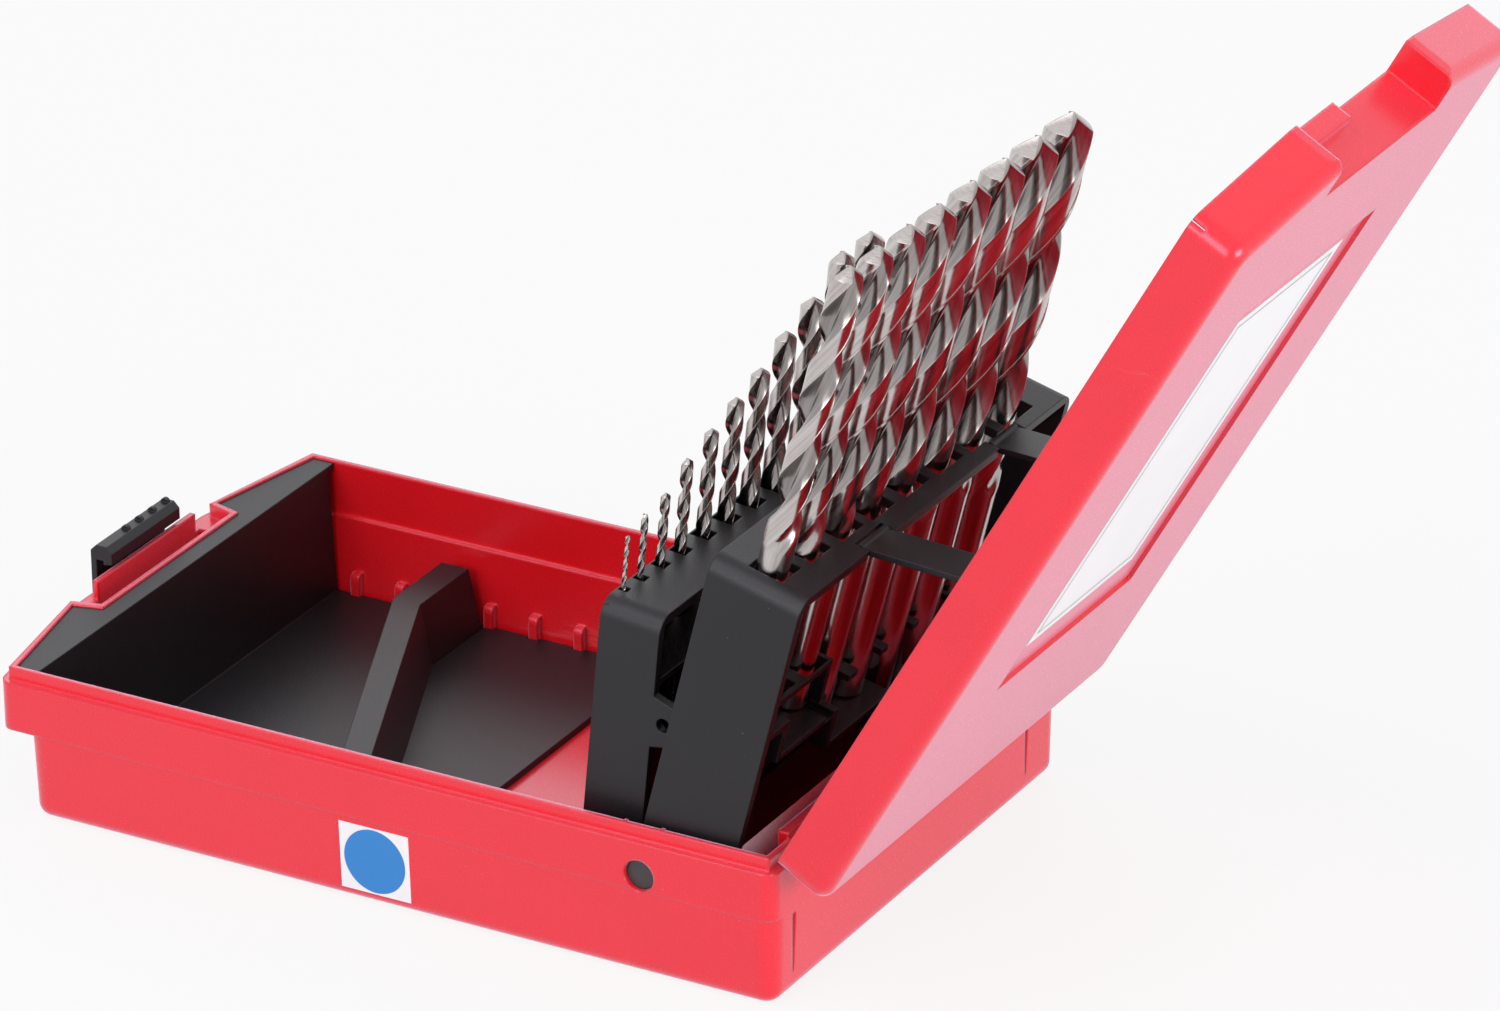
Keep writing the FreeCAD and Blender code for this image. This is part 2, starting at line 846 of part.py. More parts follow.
def lid_outline(inset):
    """Plan outline of the lid with its nose and notch, moved in by an inset."""
    side = lid_half - inset
    corner = lid_long - inset
    nose = nose_long - inset
    notch = size.notch_half + inset
    return [
        (side, -inset),
        (-side, -inset),
        (-side, -corner),
        (-size.nose_half, -nose),
        (-notch, -nose),
        (-notch, -(notch_long - inset)),
        (notch, -(notch_long - inset)),
        (notch, -nose),
        (size.nose_half, -nose),
        (side, -corner),
    ]


def make_lid_shell():
    """Mould the lid shell, drawn closed and then swung open about the rod."""
    body = new_body("lid_shell")
    plan = new_sketch(body, "XY_Plane")
    polygon(plan, lid_outline(measure(0)))
    feature = pad(body, plan, size.lid_deep)
    feature = fillet(body, feature, lid_corner, size.lid_corner)
    feature = fillet(body, feature, lid_crown, size.lid_round)

    room = new_sketch(body, "XY_Plane")
    polygon(room, lid_outline(size.lid_wall))
    pocket(body, room, size.lid_deep - size.lid_plate, True)
    rebate = new_sketch(body, "XY_Plane")
    polygon(rebate, lid_outline(size.rim_wall))
    pocket(body, rebate, size.rebate_deep, True)

    field = new_sketch(body, "XY_Plane", size.lid_deep)
    polygon(field, box_points(-size.field_half, size.field_half, -size.field_end, -size.field_start))
    pocket(body, field, size.field_deep)

    tab = new_sketch(body, "XY_Plane", -size.tab_low)
    tab_root = -notch_long + size.rim_wall
    polygon(tab, box_points(size.tab_start, size.tab_end, -notch_long - size.tab_proud, tab_root))
    pad(body, tab, size.tab_high + size.tab_low)

    hinge_across = hinge_y - lid_back
    hinge_up = hinge_z - lid_base
    for low, high in knuckle_runs("lid"):
        knuckle = new_sketch(body, "YZ_Plane", low)
        circle(knuckle, hinge_across, hinge_up, size.knuckle_radius)
        pad(body, knuckle, high - low)
    for low, high in knuckle_runs("tub"):
        room = new_sketch(body, "YZ_Plane", low - size.knuckle_clear)
        circle(room, hinge_across, hinge_up, knuckle_cut)
        pocket(body, room, high - low + 2 * size.knuckle_clear, True)
    rod_hole = new_sketch(body, "YZ_Plane", -tub_half)
    circle(rod_hole, hinge_across, hinge_up, size.rod_radius + size.rod_clear)
    pocket(body, rod_hole, size.tub_width, True)

    for middle in (size.strap_near, -size.strap_far):
        rib = new_sketch(body, "YZ_Plane", middle - size.rib_half)
        high = -size.rib_along
        low = high - size.rib_long
        base = size.rib_base
        root = size.lid_deep - size.lid_plate + size.lid_plate / 2
        polygon(rib, box_points(low, high, base, root))
        pad(body, rib, 2 * size.rib_half)
        slot = new_sketch(body, "YZ_Plane", middle - size.rib_half)
        wall = size.slot_wall
        polygon(slot, box_points(low + wall, high - wall, base + wall, size.slot_top))
        pocket(body, slot, 2 * size.rib_half, True)
    swing_lid(body)


def swung(along, up):
    """Return where a point of the closed lid stands when the lid is open."""
    swing = size.lid_swing
    reach_y = along - hinge_y
    reach_z = up - hinge_z
    open_along = hinge_y + reach_y * cosine(swing) + reach_z * sine(swing)
    open_up = hinge_z - reach_y * sine(swing) + reach_z * cosine(swing)
    return open_along, open_up


def swing_lid(body):
    """Turn a sub-part that is drawn closed, about the hinge rod, to the open pose."""
    along, up = swung(lid_back, lid_base)
    place(body, 0, along, up, -size.lid_swing)


def lid_corner(start, end):
    """Tell whether an edge is an upright outer corner of the lid."""
    return upright(start, end) and near(abs(start.x), lid_half)


def lid_crown(start, end):
    """Tell whether an edge lies round the lid's outer face, away from the notch."""
    flat = near(start.z, size.lid_deep) and near(end.z, size.lid_deep)
    return flat and min(abs(start.x), abs(end.x)) > size.nose_half.value - TOUCH


def make_latch_clip():
    """Mould the clip that hooks over the lid's tab."""
    body = new_body("latch_clip")
    side = new_sketch(body, "YZ_Plane", -size.clip_far)
    outer = -clip_front
    inner = outer + size.clip_plate
    nib = size.clip_nib - clip_front
    nib_back = nib - size.clip_nib_deep
    block = clip_top - size.clip_block
    nib_low = tower_top + size.clip_nib_rise
    polygon(side, [
        (outer, latch_z),
        (inner, latch_z),
        (inner, block),
        (nib_back, block),
        (nib_back, nib_low),
        (nib, nib_low + size.nib_slope),
        (nib, clip_top - size.clip_plate),
        (nib - size.clip_plate, clip_top),
        (outer + size.clip_plate, clip_top),
        (outer, clip_top - size.clip_plate),
    ])
    width = size.clip_near + size.clip_far
    pad(body, side, width)
    barrel = new_sketch(body, "YZ_Plane", -size.clip_far)
    circle(barrel, -latch_y, latch_z, size.latch_barrel)
    pad(body, barrel, width)
    hole = new_sketch(body, "YZ_Plane", -size.clip_far)
    circle(hole, -latch_y, latch_z, size.latch_pin_radius + size.latch_pin_clear)
    pocket(body, hole, width, True)
    first = new_sketch(body, "YZ_Plane", size.clip_near - size.bump_pitch * 2)
    circle(first, (outer + nib) / 2, clip_top, size.bump_radius)
    bump = pad(body, first, size.bump_radius)
    pattern = body.newObject("PartDesign::LinearPattern", "latch_clip_pattern")
    pattern.Originals = [bump]
    pattern.Direction = (first, ["N_Axis"])
    pattern.Reversed = True
    run = size.bump_pitch * (BUMPS - 1)
    pattern.Length = run.value
    pattern.setExpression("Length", run.text)
    pattern.Occurrences = BUMPS
    body.Tip = pattern
    doc.recompute()


def pin_body(label, across, along, up, steps, turn=0):
    """Turn a straight or stepped pin: each step is a radius and a length along X."""
    body = new_body(label)
    start = measure(0)
    for radius, length in steps:
        sketch = new_sketch(body, "YZ_Plane", start)
        circle(sketch, measure(0), measure(0), radius)
        pad(body, sketch, length)
        start = start + length
    place(body, across, along, up, turn)
    return body


def make_pins():
    """Make the hinge rod, the latch pin, the rack pivots and the strap pins."""
    rod = hinge_half
    pin_body("hinge_rod", -rod, hinge_y, hinge_z, [(size.rod_radius, 2 * rod)])
    far = clip_gap_far + size.ear_wall
    long = far + clip_gap_near + size.ear_wall
    pin_body("latch_pin", -far, -latch_y, latch_z, [(size.latch_pin_radius, long)])
    head = tub_half - size.pivot_sink
    shoulder = rear_half + size.strap_gap
    inner = front_half - size.rack_wall - size.strap_gap
    shank = (size.pivot_radius, shoulder - inner)
    cap = (size.pivot_head_radius, head - shoulder)
    pin_body("rack_pivot_near", inner, pivot_y, pivot_z, [shank, cap])
    pin_body("rack_pivot_far", -head, pivot_y, pivot_z, [cap, shank])
    lean = size.rear_lean
    along = pivot_y + size.strap_deep * cosine(lean) + rear_pin_high * sine(lean)
    up = pivot_z - size.strap_deep * sine(lean) + rear_pin_high * cosine(lean)
    half = size.strap_half + size.strap_gap + size.rack_wall
    for name, middle in (("near", size.strap_near), ("far", -size.strap_far)):
        pin_body(f"strap_pin_{name}", middle - half, along, up, [(size.strap_pin, 2 * half)])
        make_strap(f"lift_strap_{name}", middle, along, up)


def make_strap(label, middle, along, up):
    """Mould a flat strap with a barrel at the rack and a forked cross bar at the lid."""
    body = new_body(label)
    room = size.slot_wall + size.cross_radius + size.hook_gap
    hook_y = lid_back - size.rib_along - size.rib_long + room
    hook_z = lid_base + size.rib_base + size.slot_wall + size.hook_lift
    hook_along, hook_up = swung(hook_y, hook_z)
    strap_long = distance(hook_along - along, hook_up - up)
    strap_rest = slope(up - hook_up, hook_along - along)
    half = size.strap_half
    blade = new_sketch(body, "XY_Plane", -size.strap_thick / 2)
    polygon(blade, box_points(-half, half, measure(0), strap_long))
    pad(body, blade, size.strap_thick)
    fork = new_sketch(body, "XY_Plane", -size.strap_thick)
    end = strap_long + size.overrun
    polygon(fork, box_points(-size.fork_half, size.fork_half, strap_long - size.fork_long, end))
    pocket(body, fork, 2 * size.strap_thick, True)
    for place_along, radius in ((measure(0), size.strap_barrel), (strap_long, size.cross_radius)):
        round_end = new_sketch(body, "YZ_Plane", -half)
        circle(round_end, place_along, measure(0), radius)
        pad(body, round_end, 2 * half)
    hole = new_sketch(body, "YZ_Plane", -half)
    circle(hole, measure(0), measure(0), size.strap_pin + size.strap_pin_clear)
    pocket(body, hole, 2 * half, True)
    place(body, middle, along, up, -strap_rest)


def staircase(edges, tops, thickness):
    """Outline of stepped shelves of one thickness, from the near side to the far side."""
    upper = []
    lower = []
    last = len(tops) - 1
    for index, top in enumerate(tops):
        upper += [(edges[index], top), (edges[index + 1], top)]
        rising_before = index > 0 and float(tops[index - 1]) < float(top)
        rising_after = index < last and float(tops[index + 1]) > float(top)
        start = edges[index]
        if index > 0:
            start = edges[index] - thickness if rising_before else edges[index] + thickness
        end = edges[index + 1]
        if index < last:
            end = edges[index + 1] - thickness if rising_after else edges[index + 1] + thickness
        lower += [(start, top - thickness), (end, top - thickness)]
    return upper + lower[::-1]


def web_outline(edges, tops, foot):
    """Outline of a wall that fills the rack from its stepped seats down to its foot."""
    upper = []
    for index, top in enumerate(tops):
        upper += [(edges[index], top), (edges[index + 1], top)]
    return [(edges[0], measure(foot))] + upper + [(edges[-1], measure(foot))]


def merged_steps(edges, tops):
    """Join neighbouring shelves that lie at one height."""
    kept_edges = [edges[0]]
    kept_tops = []
    for index, top in enumerate(tops):
        if kept_tops and near(float(kept_tops[-1]), top):
            kept_edges[-1] = edges[index + 1]
            continue
        kept_tops.append(top)
        kept_edges.append(edges[index + 1])
    return kept_edges, kept_tops


def shelf(body, points, back, depth):
    """Grow a stepped shelf forwards from its back edge."""
    sketch = new_sketch(body, "XZ_Plane", -back)
    polygon(sketch, points)
    return pad(body, sketch, depth)


def side_plates(body, half, points, ear):
    """Add both end plates of a rack, each with its round pivot ear."""
    for start in (half - size.rack_wall, -half):
        plate = new_sketch(body, "YZ_Plane", start)
        polygon(plate, points)
        pad(body, plate, size.rack_wall)
        boss = new_sketch(body, "YZ_Plane", start)
        circle(boss, measure(0), measure(0), ear)
        pad(body, boss, size.rack_wall)


def rack_bores(body, drills, top, front):
    """Cut the squared guide bores down to each drill's seat."""
    for diameter, whole, drawn, show in drills:
        across = spread * drawn
        sketch = new_sketch(body, "XY_Plane", top)
        half = measure(diameter) / 2 + size.bore_clear
        back = front + diameter + 2 * size.bore_clear
        polygon(sketch, box_points(across - half, across + half, front - size.bore_clear / 2, back))
        pocket(body, sketch, whole - show)


def pivot_bore(body, half):
    """Bore both ears for the pivot pins."""
    sketch = new_sketch(body, "YZ_Plane", -half)
    circle(sketch, measure(0), measure(0), size.pivot_radius + size.pivot_clear)
    pocket(body, sketch, 2 * half, True)


def bar_end(half, top):
    """Return a test for the two end edges of a rack's bar."""
    def test(start, end):
        level = near(start.z, top) and near(end.z, top)
        return level and near(start.x, end.x) and near(abs(start.x), half)
    return test


def cell_edges(drills, inner):
    """Return the boundaries between neighbouring drill cells."""
    places = [spread * item[2] for item in drills]
    middles = [(left + right) / 2 for left, right in zip(places, places[1:])]
    return [inner] + middles + [-inner]


def make_rear_rack():
    """Mould the rear rack: end plates, top bar, guide shelves and stepped seats."""
    body = new_body("rear_rack")
    half = rear_half
    front = -size.rear_front
    back = size.rear_back
    bar = new_sketch(body, "XY_Plane", size.rear_top)
    polygon(bar, box_points(-half, half, front, back))
    pad(body, bar, size.rack_wall, True)
    side_plates(body, half, [
        (front, size.rear_top),
        (back, size.rear_top),
        (back, size.rear_ear * PLATE_SHARES[0]),
        (back - size.rear_ear, size.rear_ear * PLATE_SHARES[1]),
        (measure(0), -size.rear_ear),
        (front, -size.rear_ear / 2),
    ], size.rear_ear)
    fillet(body, body.Tip, bar_end(half, size.rear_top), size.rack_round)
    inner = half - size.rack_wall / 2
    drills = rear_drills()
    guide_depth = size.guide_back + size.guide_front
    guide_edges = [inner, size.guide_step, -inner]
    shelf(body, staircase(guide_edges, [size.guide_high, size.guide_low], size.seat_wall),
          size.guide_back, guide_depth)
    tops = [size.rear_top - (whole - show) for _, whole, _, show in drills]
    edges, tops = merged_steps(cell_edges(drills, inner), tops)
    shelf(body, staircase(edges, tops, size.seat_wall), size.seat_back,
          size.seat_back + size.guide_front)
    between = front_half - size.rack_wall - size.front_gap
    inside = [between] + edges[1:-1] + [-between]
    web = web_outline(inside, [top - size.seat_wall / 2 for top in tops], -size.rear_foot)
    shelf(body, web, size.seat_wall - size.guide_front, size.seat_wall)
    rack_bores(body, drills, size.rear_top, size.rear_axis)
    pivot_bore(body, half)
    for middle in (size.strap_near, -size.strap_far):
        notch = new_sketch(body, "XY_Plane", size.rear_top)
        room = size.strap_half + size.strap_gap
        start = size.strap_deep - size.strap_barrel - size.strap_gap
        polygon(notch, box_points(middle - room, middle + room, start, back + size.overrun))
        pocket(body, notch, size.rack_wall)
        pin = new_sketch(body, "YZ_Plane", middle - room - size.rack_wall)
        circle(pin, size.strap_deep, rear_pin_high, size.strap_pin + size.strap_pin_clear)
        pocket(body, pin, 2 * (room + size.rack_wall), True)
        rib_room(body, middle)
    place(body, 0, pivot_y, pivot_z, -size.rear_lean)


def rib_room(body, middle):
    """Cut the slot that clears a lid rib when the case is shut."""
    sketch = new_sketch(body, "YZ_Plane", middle - size.rib_half - size.rib_clear)
    deep = lid_base + size.rib_base - pivot_z - size.rib_clear
    low = pivot_y - lid_back + size.rib_along - size.rib_clear
    high = low + size.rib_long + 2 * size.rib_clear
    polygon(sketch, box_points(deep, size.rear_back + size.overrun, low, high))
    pocket(body, sketch, 2 * (size.rib_half + size.rib_clear), True)


def make_front_rack():
    """Mould the front rack, which nests between the rear rack's end plates."""
    body = new_body("front_rack")
    half = front_half
    front = -size.front_front
    back = -size.front_back
    bar = new_sketch(body, "XY_Plane", size.front_top)
    polygon(bar, box_points(-half, half, front, back))
    pad(body, bar, size.rack_wall, True)
    side_plates(body, half, [
        (front, size.front_top),
        (back, size.front_top),
        (back, size.front_ear),
        (measure(0), size.front_ear),
        (measure(0), -size.front_ear),
        (front, measure(0)),
    ], size.front_ear)
    fillet(body, body.Tip, bar_end(half, size.front_top), size.rack_round)
    inner = half - size.rack_wall / 2
    drills = front_drills()
    depth = back - front
    points = box_points(-inner, inner, size.front_guide - size.seat_wall, size.front_guide)
    shelf(body, points, back, depth)
    tops = [size.front_top - (whole - show) for _, whole, _, show in drills]
    edges, tops = merged_steps(cell_edges(drills, inner), tops)
    shelf(body, staircase(edges, tops, size.seat_wall), back, depth)
    web = box_points(-inner, inner, -size.front_foot, size.front_top - size.rack_wall / 2)
    shelf(body, web, size.front_web - size.front_front, size.front_web)
    rack_bores(body, drills, size.front_top, -size.front_axis)
    pivot_bore(body, half)
    lug = new_sketch(body, "YZ_Plane", half - size.rack_wall)
    polygon(lug, [
        (back - size.rack_wall, size.lug_low - size.rack_wall),
        (size.lug_back, size.lug_low),
        (size.lug_back, size.lug_high),
        (back - size.rack_wall, size.lug_high + size.rack_wall),
    ])
    pad(body, lug, size.rack_wall)
    hole = new_sketch(body, "YZ_Plane", half - size.rack_wall)
    circle(hole, back * LUG_SHARE, (size.lug_low + size.lug_high) / 2, size.lug_hole)
    pocket(body, hole, size.rack_wall, True)
    place(body, 0, pivot_y, pivot_z, -size.front_lean)


def rear_drills():
    """Return the rear row, each with the length that stands above the bar."""
    return [item + (size.rear_show.value,) for item in REAR_DRILLS]


def front_drills():
    """Return the front row."""
    return list(FRONT_DRILLS)


def make_drill(diameter, whole, drawn, show, top, axis, lean):
    """Turn one twist drill and stand it on its seat in the leaning rack."""
    label = f"drill_{int(diameter)}_{int(round(diameter * 10)) % 10}"
    body = new_body(label)
    profile = new_sketch(body, "XZ_Plane")
    radius = diameter / 2
    point = diameter * POINT_SHARE
    chisel = diameter * CHISEL_SHARE
    polygon(profile, [
        (0, 0),
        (radius, 0),
        (radius, whole - point),
        (chisel, whole - chisel * point / radius),
        (0, whole - chisel * point / radius),
    ])
    turn = body.newObject("PartDesign::Revolution", f"{label}_turn")
    turn.Profile = profile
    turn.ReferenceAxis = (profile, ["V_Axis"])
    turn.Angle = 360
    doc.recompute()
    deep = axis + radius
    seat = top - (whole - show)
    along = pivot_y + deep * cosine(lean) + seat * sine(lean)
    up = pivot_z - deep * sine(lean) + seat * cosine(lean)
    place(body, spread * drawn, along, up, -lean)


def make_labels():
    """Add the blank label in the lid's field and the small one on the near wall."""
    lid_label = new_body("lid_label")
    field = new_sketch(lid_label, "XY_Plane", size.lid_deep - size.field_deep)
    polygon(field, box_points(-size.label_far, size.label_near, -size.label_end, -size.label_start))
    pad(lid_label, field, size.label_thick)
    swing_lid(lid_label)

    side_label = new_body("side_label")
    sheet_sketch = new_sketch(side_label, "XZ_Plane", size.side_label_front)
    slope = sine(size.tub_draft) / cosine(size.tub_draft)
    low = lower_half - (size.band_low - size.side_label_low) * slope
    high = lower_half - (size.band_low - size.side_label_high) * slope
    polygon(sheet_sketch, [
        (low, size.side_label_low),
        (low + size.label_thick, size.side_label_low),
        (high + size.label_thick, size.side_label_high),
        (high, size.side_label_high),
    ])
    pad(side_label, sheet_sketch, size.side_label_front + size.side_label_back, True)


def check_document():
    """Stop when a feature has failed or a sub-part has no sound shape."""
    doc.recompute()
    for item in doc.Objects:
        if "Invalid" in item.State or "Error" in item.State:
            raise RuntimeError(f"{item.Label} failed: {item.State}")
    for body in sub_parts:
        shape = body.Shape
        if shape.isNull() or not shape.isValid() or len(shape.Solids) != 1:
            raise RuntimeError(f"{body.Label} has no single sound solid")


def main():
    """Build every sub-part, check it and write its file."""
    make_base_shell()
    make_front_insert()
    make_tip_rest()
    make_lid_shell()
    make_latch_clip()
    make_rear_rack()
    make_front_rack()
    make_pins()
    for item in rear_drills():
        make_drill(*item, size.rear_top, size.rear_axis, size.rear_lean)
    for item in front_drills():
        make_drill(*item, size.front_top, -size.front_axis, size.front_lean)
    make_labels()
    check_document()
    os.makedirs("parts", exist_ok=True)
    for body in sub_parts:
        body.Shape.exportStep(f"parts/{body.Label}.step")
        print(body.Label, round(body.Shape.Volume, 1))


main()
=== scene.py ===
"""Looks of the hinged drill bit case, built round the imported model.

The tub, lid, racks and clip keep their modelled solids and get moulded finishes.  The nineteen twist
drills are rebuilt with ground flutes, and the label films get their print.
"""

import logging
import math
import random
from dataclasses import dataclass, field
from enum import Enum

import bmesh
import bpy
from mathutils import Matrix, Vector

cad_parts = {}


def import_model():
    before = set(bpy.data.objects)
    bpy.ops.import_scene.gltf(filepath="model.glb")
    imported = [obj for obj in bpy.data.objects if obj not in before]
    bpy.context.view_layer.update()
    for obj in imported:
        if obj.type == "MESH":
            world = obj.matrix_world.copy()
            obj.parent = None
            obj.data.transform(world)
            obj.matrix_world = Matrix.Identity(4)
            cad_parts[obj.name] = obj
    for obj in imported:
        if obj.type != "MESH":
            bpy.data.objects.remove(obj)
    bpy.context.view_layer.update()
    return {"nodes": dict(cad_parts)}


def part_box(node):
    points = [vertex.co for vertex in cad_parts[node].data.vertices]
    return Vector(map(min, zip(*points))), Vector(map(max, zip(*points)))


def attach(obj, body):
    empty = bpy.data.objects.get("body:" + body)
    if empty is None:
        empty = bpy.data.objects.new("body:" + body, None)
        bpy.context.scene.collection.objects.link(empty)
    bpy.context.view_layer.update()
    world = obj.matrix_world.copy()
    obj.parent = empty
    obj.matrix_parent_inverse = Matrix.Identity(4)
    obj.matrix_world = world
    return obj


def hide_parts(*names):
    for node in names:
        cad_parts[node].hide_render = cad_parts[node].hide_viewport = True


LOG = logging.getLogger("drill_case")
MM = 0.001
SEED = 41
HALF_TURN = 180.0
RIGHT_ANGLE = 90.0

# Sockets of the Mix node when it mixes colours
MIX_SHARE = 0
MIX_LOW = 6
MIX_HIGH = 7
MIX_RESULT = 2

# Sockets of the Mix Shader node
BLEND_SHARE = 0
BLEND_FIRST = 1
BLEND_SECOND = 2

# Relief of the moulded grain, in metres
GRAIN_RELIEF = 0.08 * MM

# How the hair scratches are drawn out and turned, and the noise levels that show as scratches
HAIR_STRETCH = (1.0, 0.05, 0.8)
HAIR_TURN = (0.35, 0.5, 0.7)
HAIR_WINDOW = (0.64, 0.70)

# Size of a speck in its cell, and the draws that give a cell its speck
SPECK_WINDOW = (0.055, 0.02)
SPECK_DRAW = (0.90, 0.92)

# The noise levels between which a grinding streak goes from dark to bright
STREAK_WINDOW = (0.30, 0.70)

Colour = tuple[float, float, float, float]
Socket = bpy.types.NodeSocket


class Row(Enum):
    """The two racks that hold the drills."""

    REAR = "rear"
    FRONT = "front"


class Surface(Enum):
    """The kinds of surface on the case."""

    RED = "red_moulding"
    BLACK = "black_moulding"
    STUD = "pivot_stud"
    WIRE = "steel_wire"
    GROUND = "ground_steel"
    FILM = "label_film"
    DISC = "label_disc"
    RULE = "label_rule"


def grey(level: float) -> Colour:
    """Return an opaque neutral colour."""
    return (level, level, level, 1.0)


@dataclass
class Bench:
    """Short calls for nodes and links, for materials, shared effects and the world alike.

    Attributes:
        tree: The node tree that is built.
    """

    tree: bpy.types.NodeTree

    def add(self, kind: str, **values: object) -> bpy.types.Node:
        """Add a node and set its own properties.

        Args:
            kind: Blender's type name of the node.
            **values: Properties of the node by name.

        Returns:
            The new node.
        """
        node = self.tree.nodes.new(kind)
        for name, value in values.items():
            setattr(node, name, value)
        return node

    def join(self, source: Socket, target: Socket) -> None:
        """Link an output to an input."""
        self.tree.links.new(source, target)

    def combine(self, operation: str, first: Socket, second: Socket | float) -> Socket:
        """Add a math node.

        Args:
            operation: Blender's name of the operation.
            first: First value.
            second: Second value, an output or a plain number.

        Returns:
            The result's output.
        """
        node = self.add("ShaderNodeMath", operation=operation)
        self.join(first, node.inputs[0])
        if isinstance(second, Socket):
            self.join(second, node.inputs[1])
        else:
            node.inputs[1].default_value = second
        return node.outputs[0]

    def window(self, value: Socket, low: float, high: float) -> Socket:
        """Cut a mask out of a value.

        Args:
            value: The value to cut.
            low: Where the mask starts.
            high: Where the mask is full.

        Returns:
            The mask's output.
        """
        node = self.add("ShaderNodeMapRange")
        node.inputs["From Min"].default_value = low
        node.inputs["From Max"].default_value = high
        self.join(value, node.inputs["Value"])
        return node.outputs["Result"]

    def span(self, share: Socket, low: float, high: float) -> Socket:
        """Spread a share over a range of values.

        Args:
            share: The share from 0 to 1.
            low: Value at 0.
            high: Value at 1.

        Returns:
            The value's output.
        """
        node = self.add("ShaderNodeMapRange")
        node.inputs["To Min"].default_value = low
        node.inputs["To Max"].default_value = high
        self.join(share, node.inputs["Value"])
        return node.outputs["Result"]

    def background_rays(self) -> Socket:
        """Return a mask of the rays that see the plain pale background."""
        path = self.add("ShaderNodeLightPath")
        seen = self.combine("MAXIMUM", path.outputs["Is Camera Ray"], path.outputs["Is Glossy Ray"])
        return self.combine("MAXIMUM", seen, path.outputs["Is Transmission Ray"])


@dataclass
class Shader(Bench):
    """A material under construction.

    Attributes:
        name: Name of the material.
        material: The material itself.
        tree: Its node tree.
        surface: Its Principled shader.
    """

    name: str
    material: bpy.types.Material = field(init=False)
    tree: bpy.types.NodeTree = field(init=False)
    surface: bpy.types.Node = field(init=False)

    def __post_init__(self) -> None:
        """Create the material with one Principled shader."""
        self.material = bpy.data.materials.new(self.name)
        self.material.use_nodes = True
        self.tree = self.material.node_tree
        self.surface = self.tree.nodes["Principled BSDF"]

    def set(self, **values: object) -> None:
        """Set plain numbers and colours on the Principled shader's own sockets."""
        for name, value in values.items():
            self.surface.inputs[name.replace("_", " ")].default_value = value

    def mix(self, share: Socket, low: Socket | Colour, high: Colour) -> Socket:
        """Mix two tones.

        Args:
            share: Output that sets the share of the second tone.
            low: First tone, an output or a plain colour.
            high: Second tone.

        Returns:
            The mixed colour's output.
        """
        node = self.add("ShaderNodeMix", data_type="RGBA")
        self.join(share, node.inputs[MIX_SHARE])
        if isinstance(low, Socket):
            self.join(low, node.inputs[MIX_LOW])
        else:
            node.inputs[MIX_LOW].default_value = low
        node.inputs[MIX_HIGH].default_value = high
        return node.outputs[MIX_RESULT]

    def group(self, group: bpy.types.NodeTree, **values: float) -> bpy.types.Node:
        """Place a shared effect and give it its values.

        Args:
            group: The shared node group.
            **values: Input values by name, with underscores for spaces.

        Returns:
            The group's node.
        """
        node = self.add("ShaderNodeGroup", node_tree=group)
        for name, value in values.items():
            node.inputs[name.replace("_", " ")].default_value = value
        return node


@dataclass
class Effect(Bench):
    """A shared shader node group under construction.

    Attributes:
        name: Name of the group.
        inputs: Number inputs by name, with their defaults.
        outputs: Output names, each with its socket type.
        places: Names of the inputs that take a place in space.
        tree: The group itself.
        source: The node that holds the inputs.
        target: The node that takes the outputs.
    """

    name: str
    inputs: dict[str, float]
    outputs: dict[str, str]
    places: tuple[str, ...] = ()
    tree: bpy.types.NodeTree = field(init=False)
    source: bpy.types.Node = field(init=False)
    target: bpy.types.Node = field(init=False)

    def __post_init__(self) -> None:
        """Create the group with its named sockets."""
        self.tree = bpy.data.node_groups.new(self.name, "ShaderNodeTree")
        for name in self.places:
            self.tree.interface.new_socket(name, in_out="INPUT", socket_type="NodeSocketVector")
        for name, value in self.inputs.items():
            socket = self.tree.interface.new_socket(name, in_out="INPUT", socket_type="NodeSocketFloat")
            socket.default_value = value
        for name, kind in self.outputs.items():
            self.tree.interface.new_socket(name, in_out="OUTPUT", socket_type=kind)
        self.source = self.tree.nodes.new("NodeGroupInput")
        self.target = self.tree.nodes.new("NodeGroupOutput")

    def noise(self, scale: str, place: Socket, detail: float, rough: float) -> bpy.types.Node:
        """Add a noise whose scale comes from one of the group's inputs.

        Args:
            scale: Name of the input that holds the scale.
            place: Where the noise is read.
            detail: Number of octaves.
            rough: Weight of the finer octaves.

        Returns:
            The noise node.
        """
        node = self.add("ShaderNodeTexNoise", noise_dimensions="3D")
        node.inputs["Detail"].default_value = detail
        node.inputs["Roughness"].default_value = rough
        self.join(place, node.inputs["Vector"])
        self.join(self.source.outputs[scale], node.inputs["Scale"])
        return node

    def put_out(self, **values: Socket) -> None:
        """Join values to the group's outputs of the same names."""
        for name, value in values.items():
            self.join(value, self.target.inputs[name])


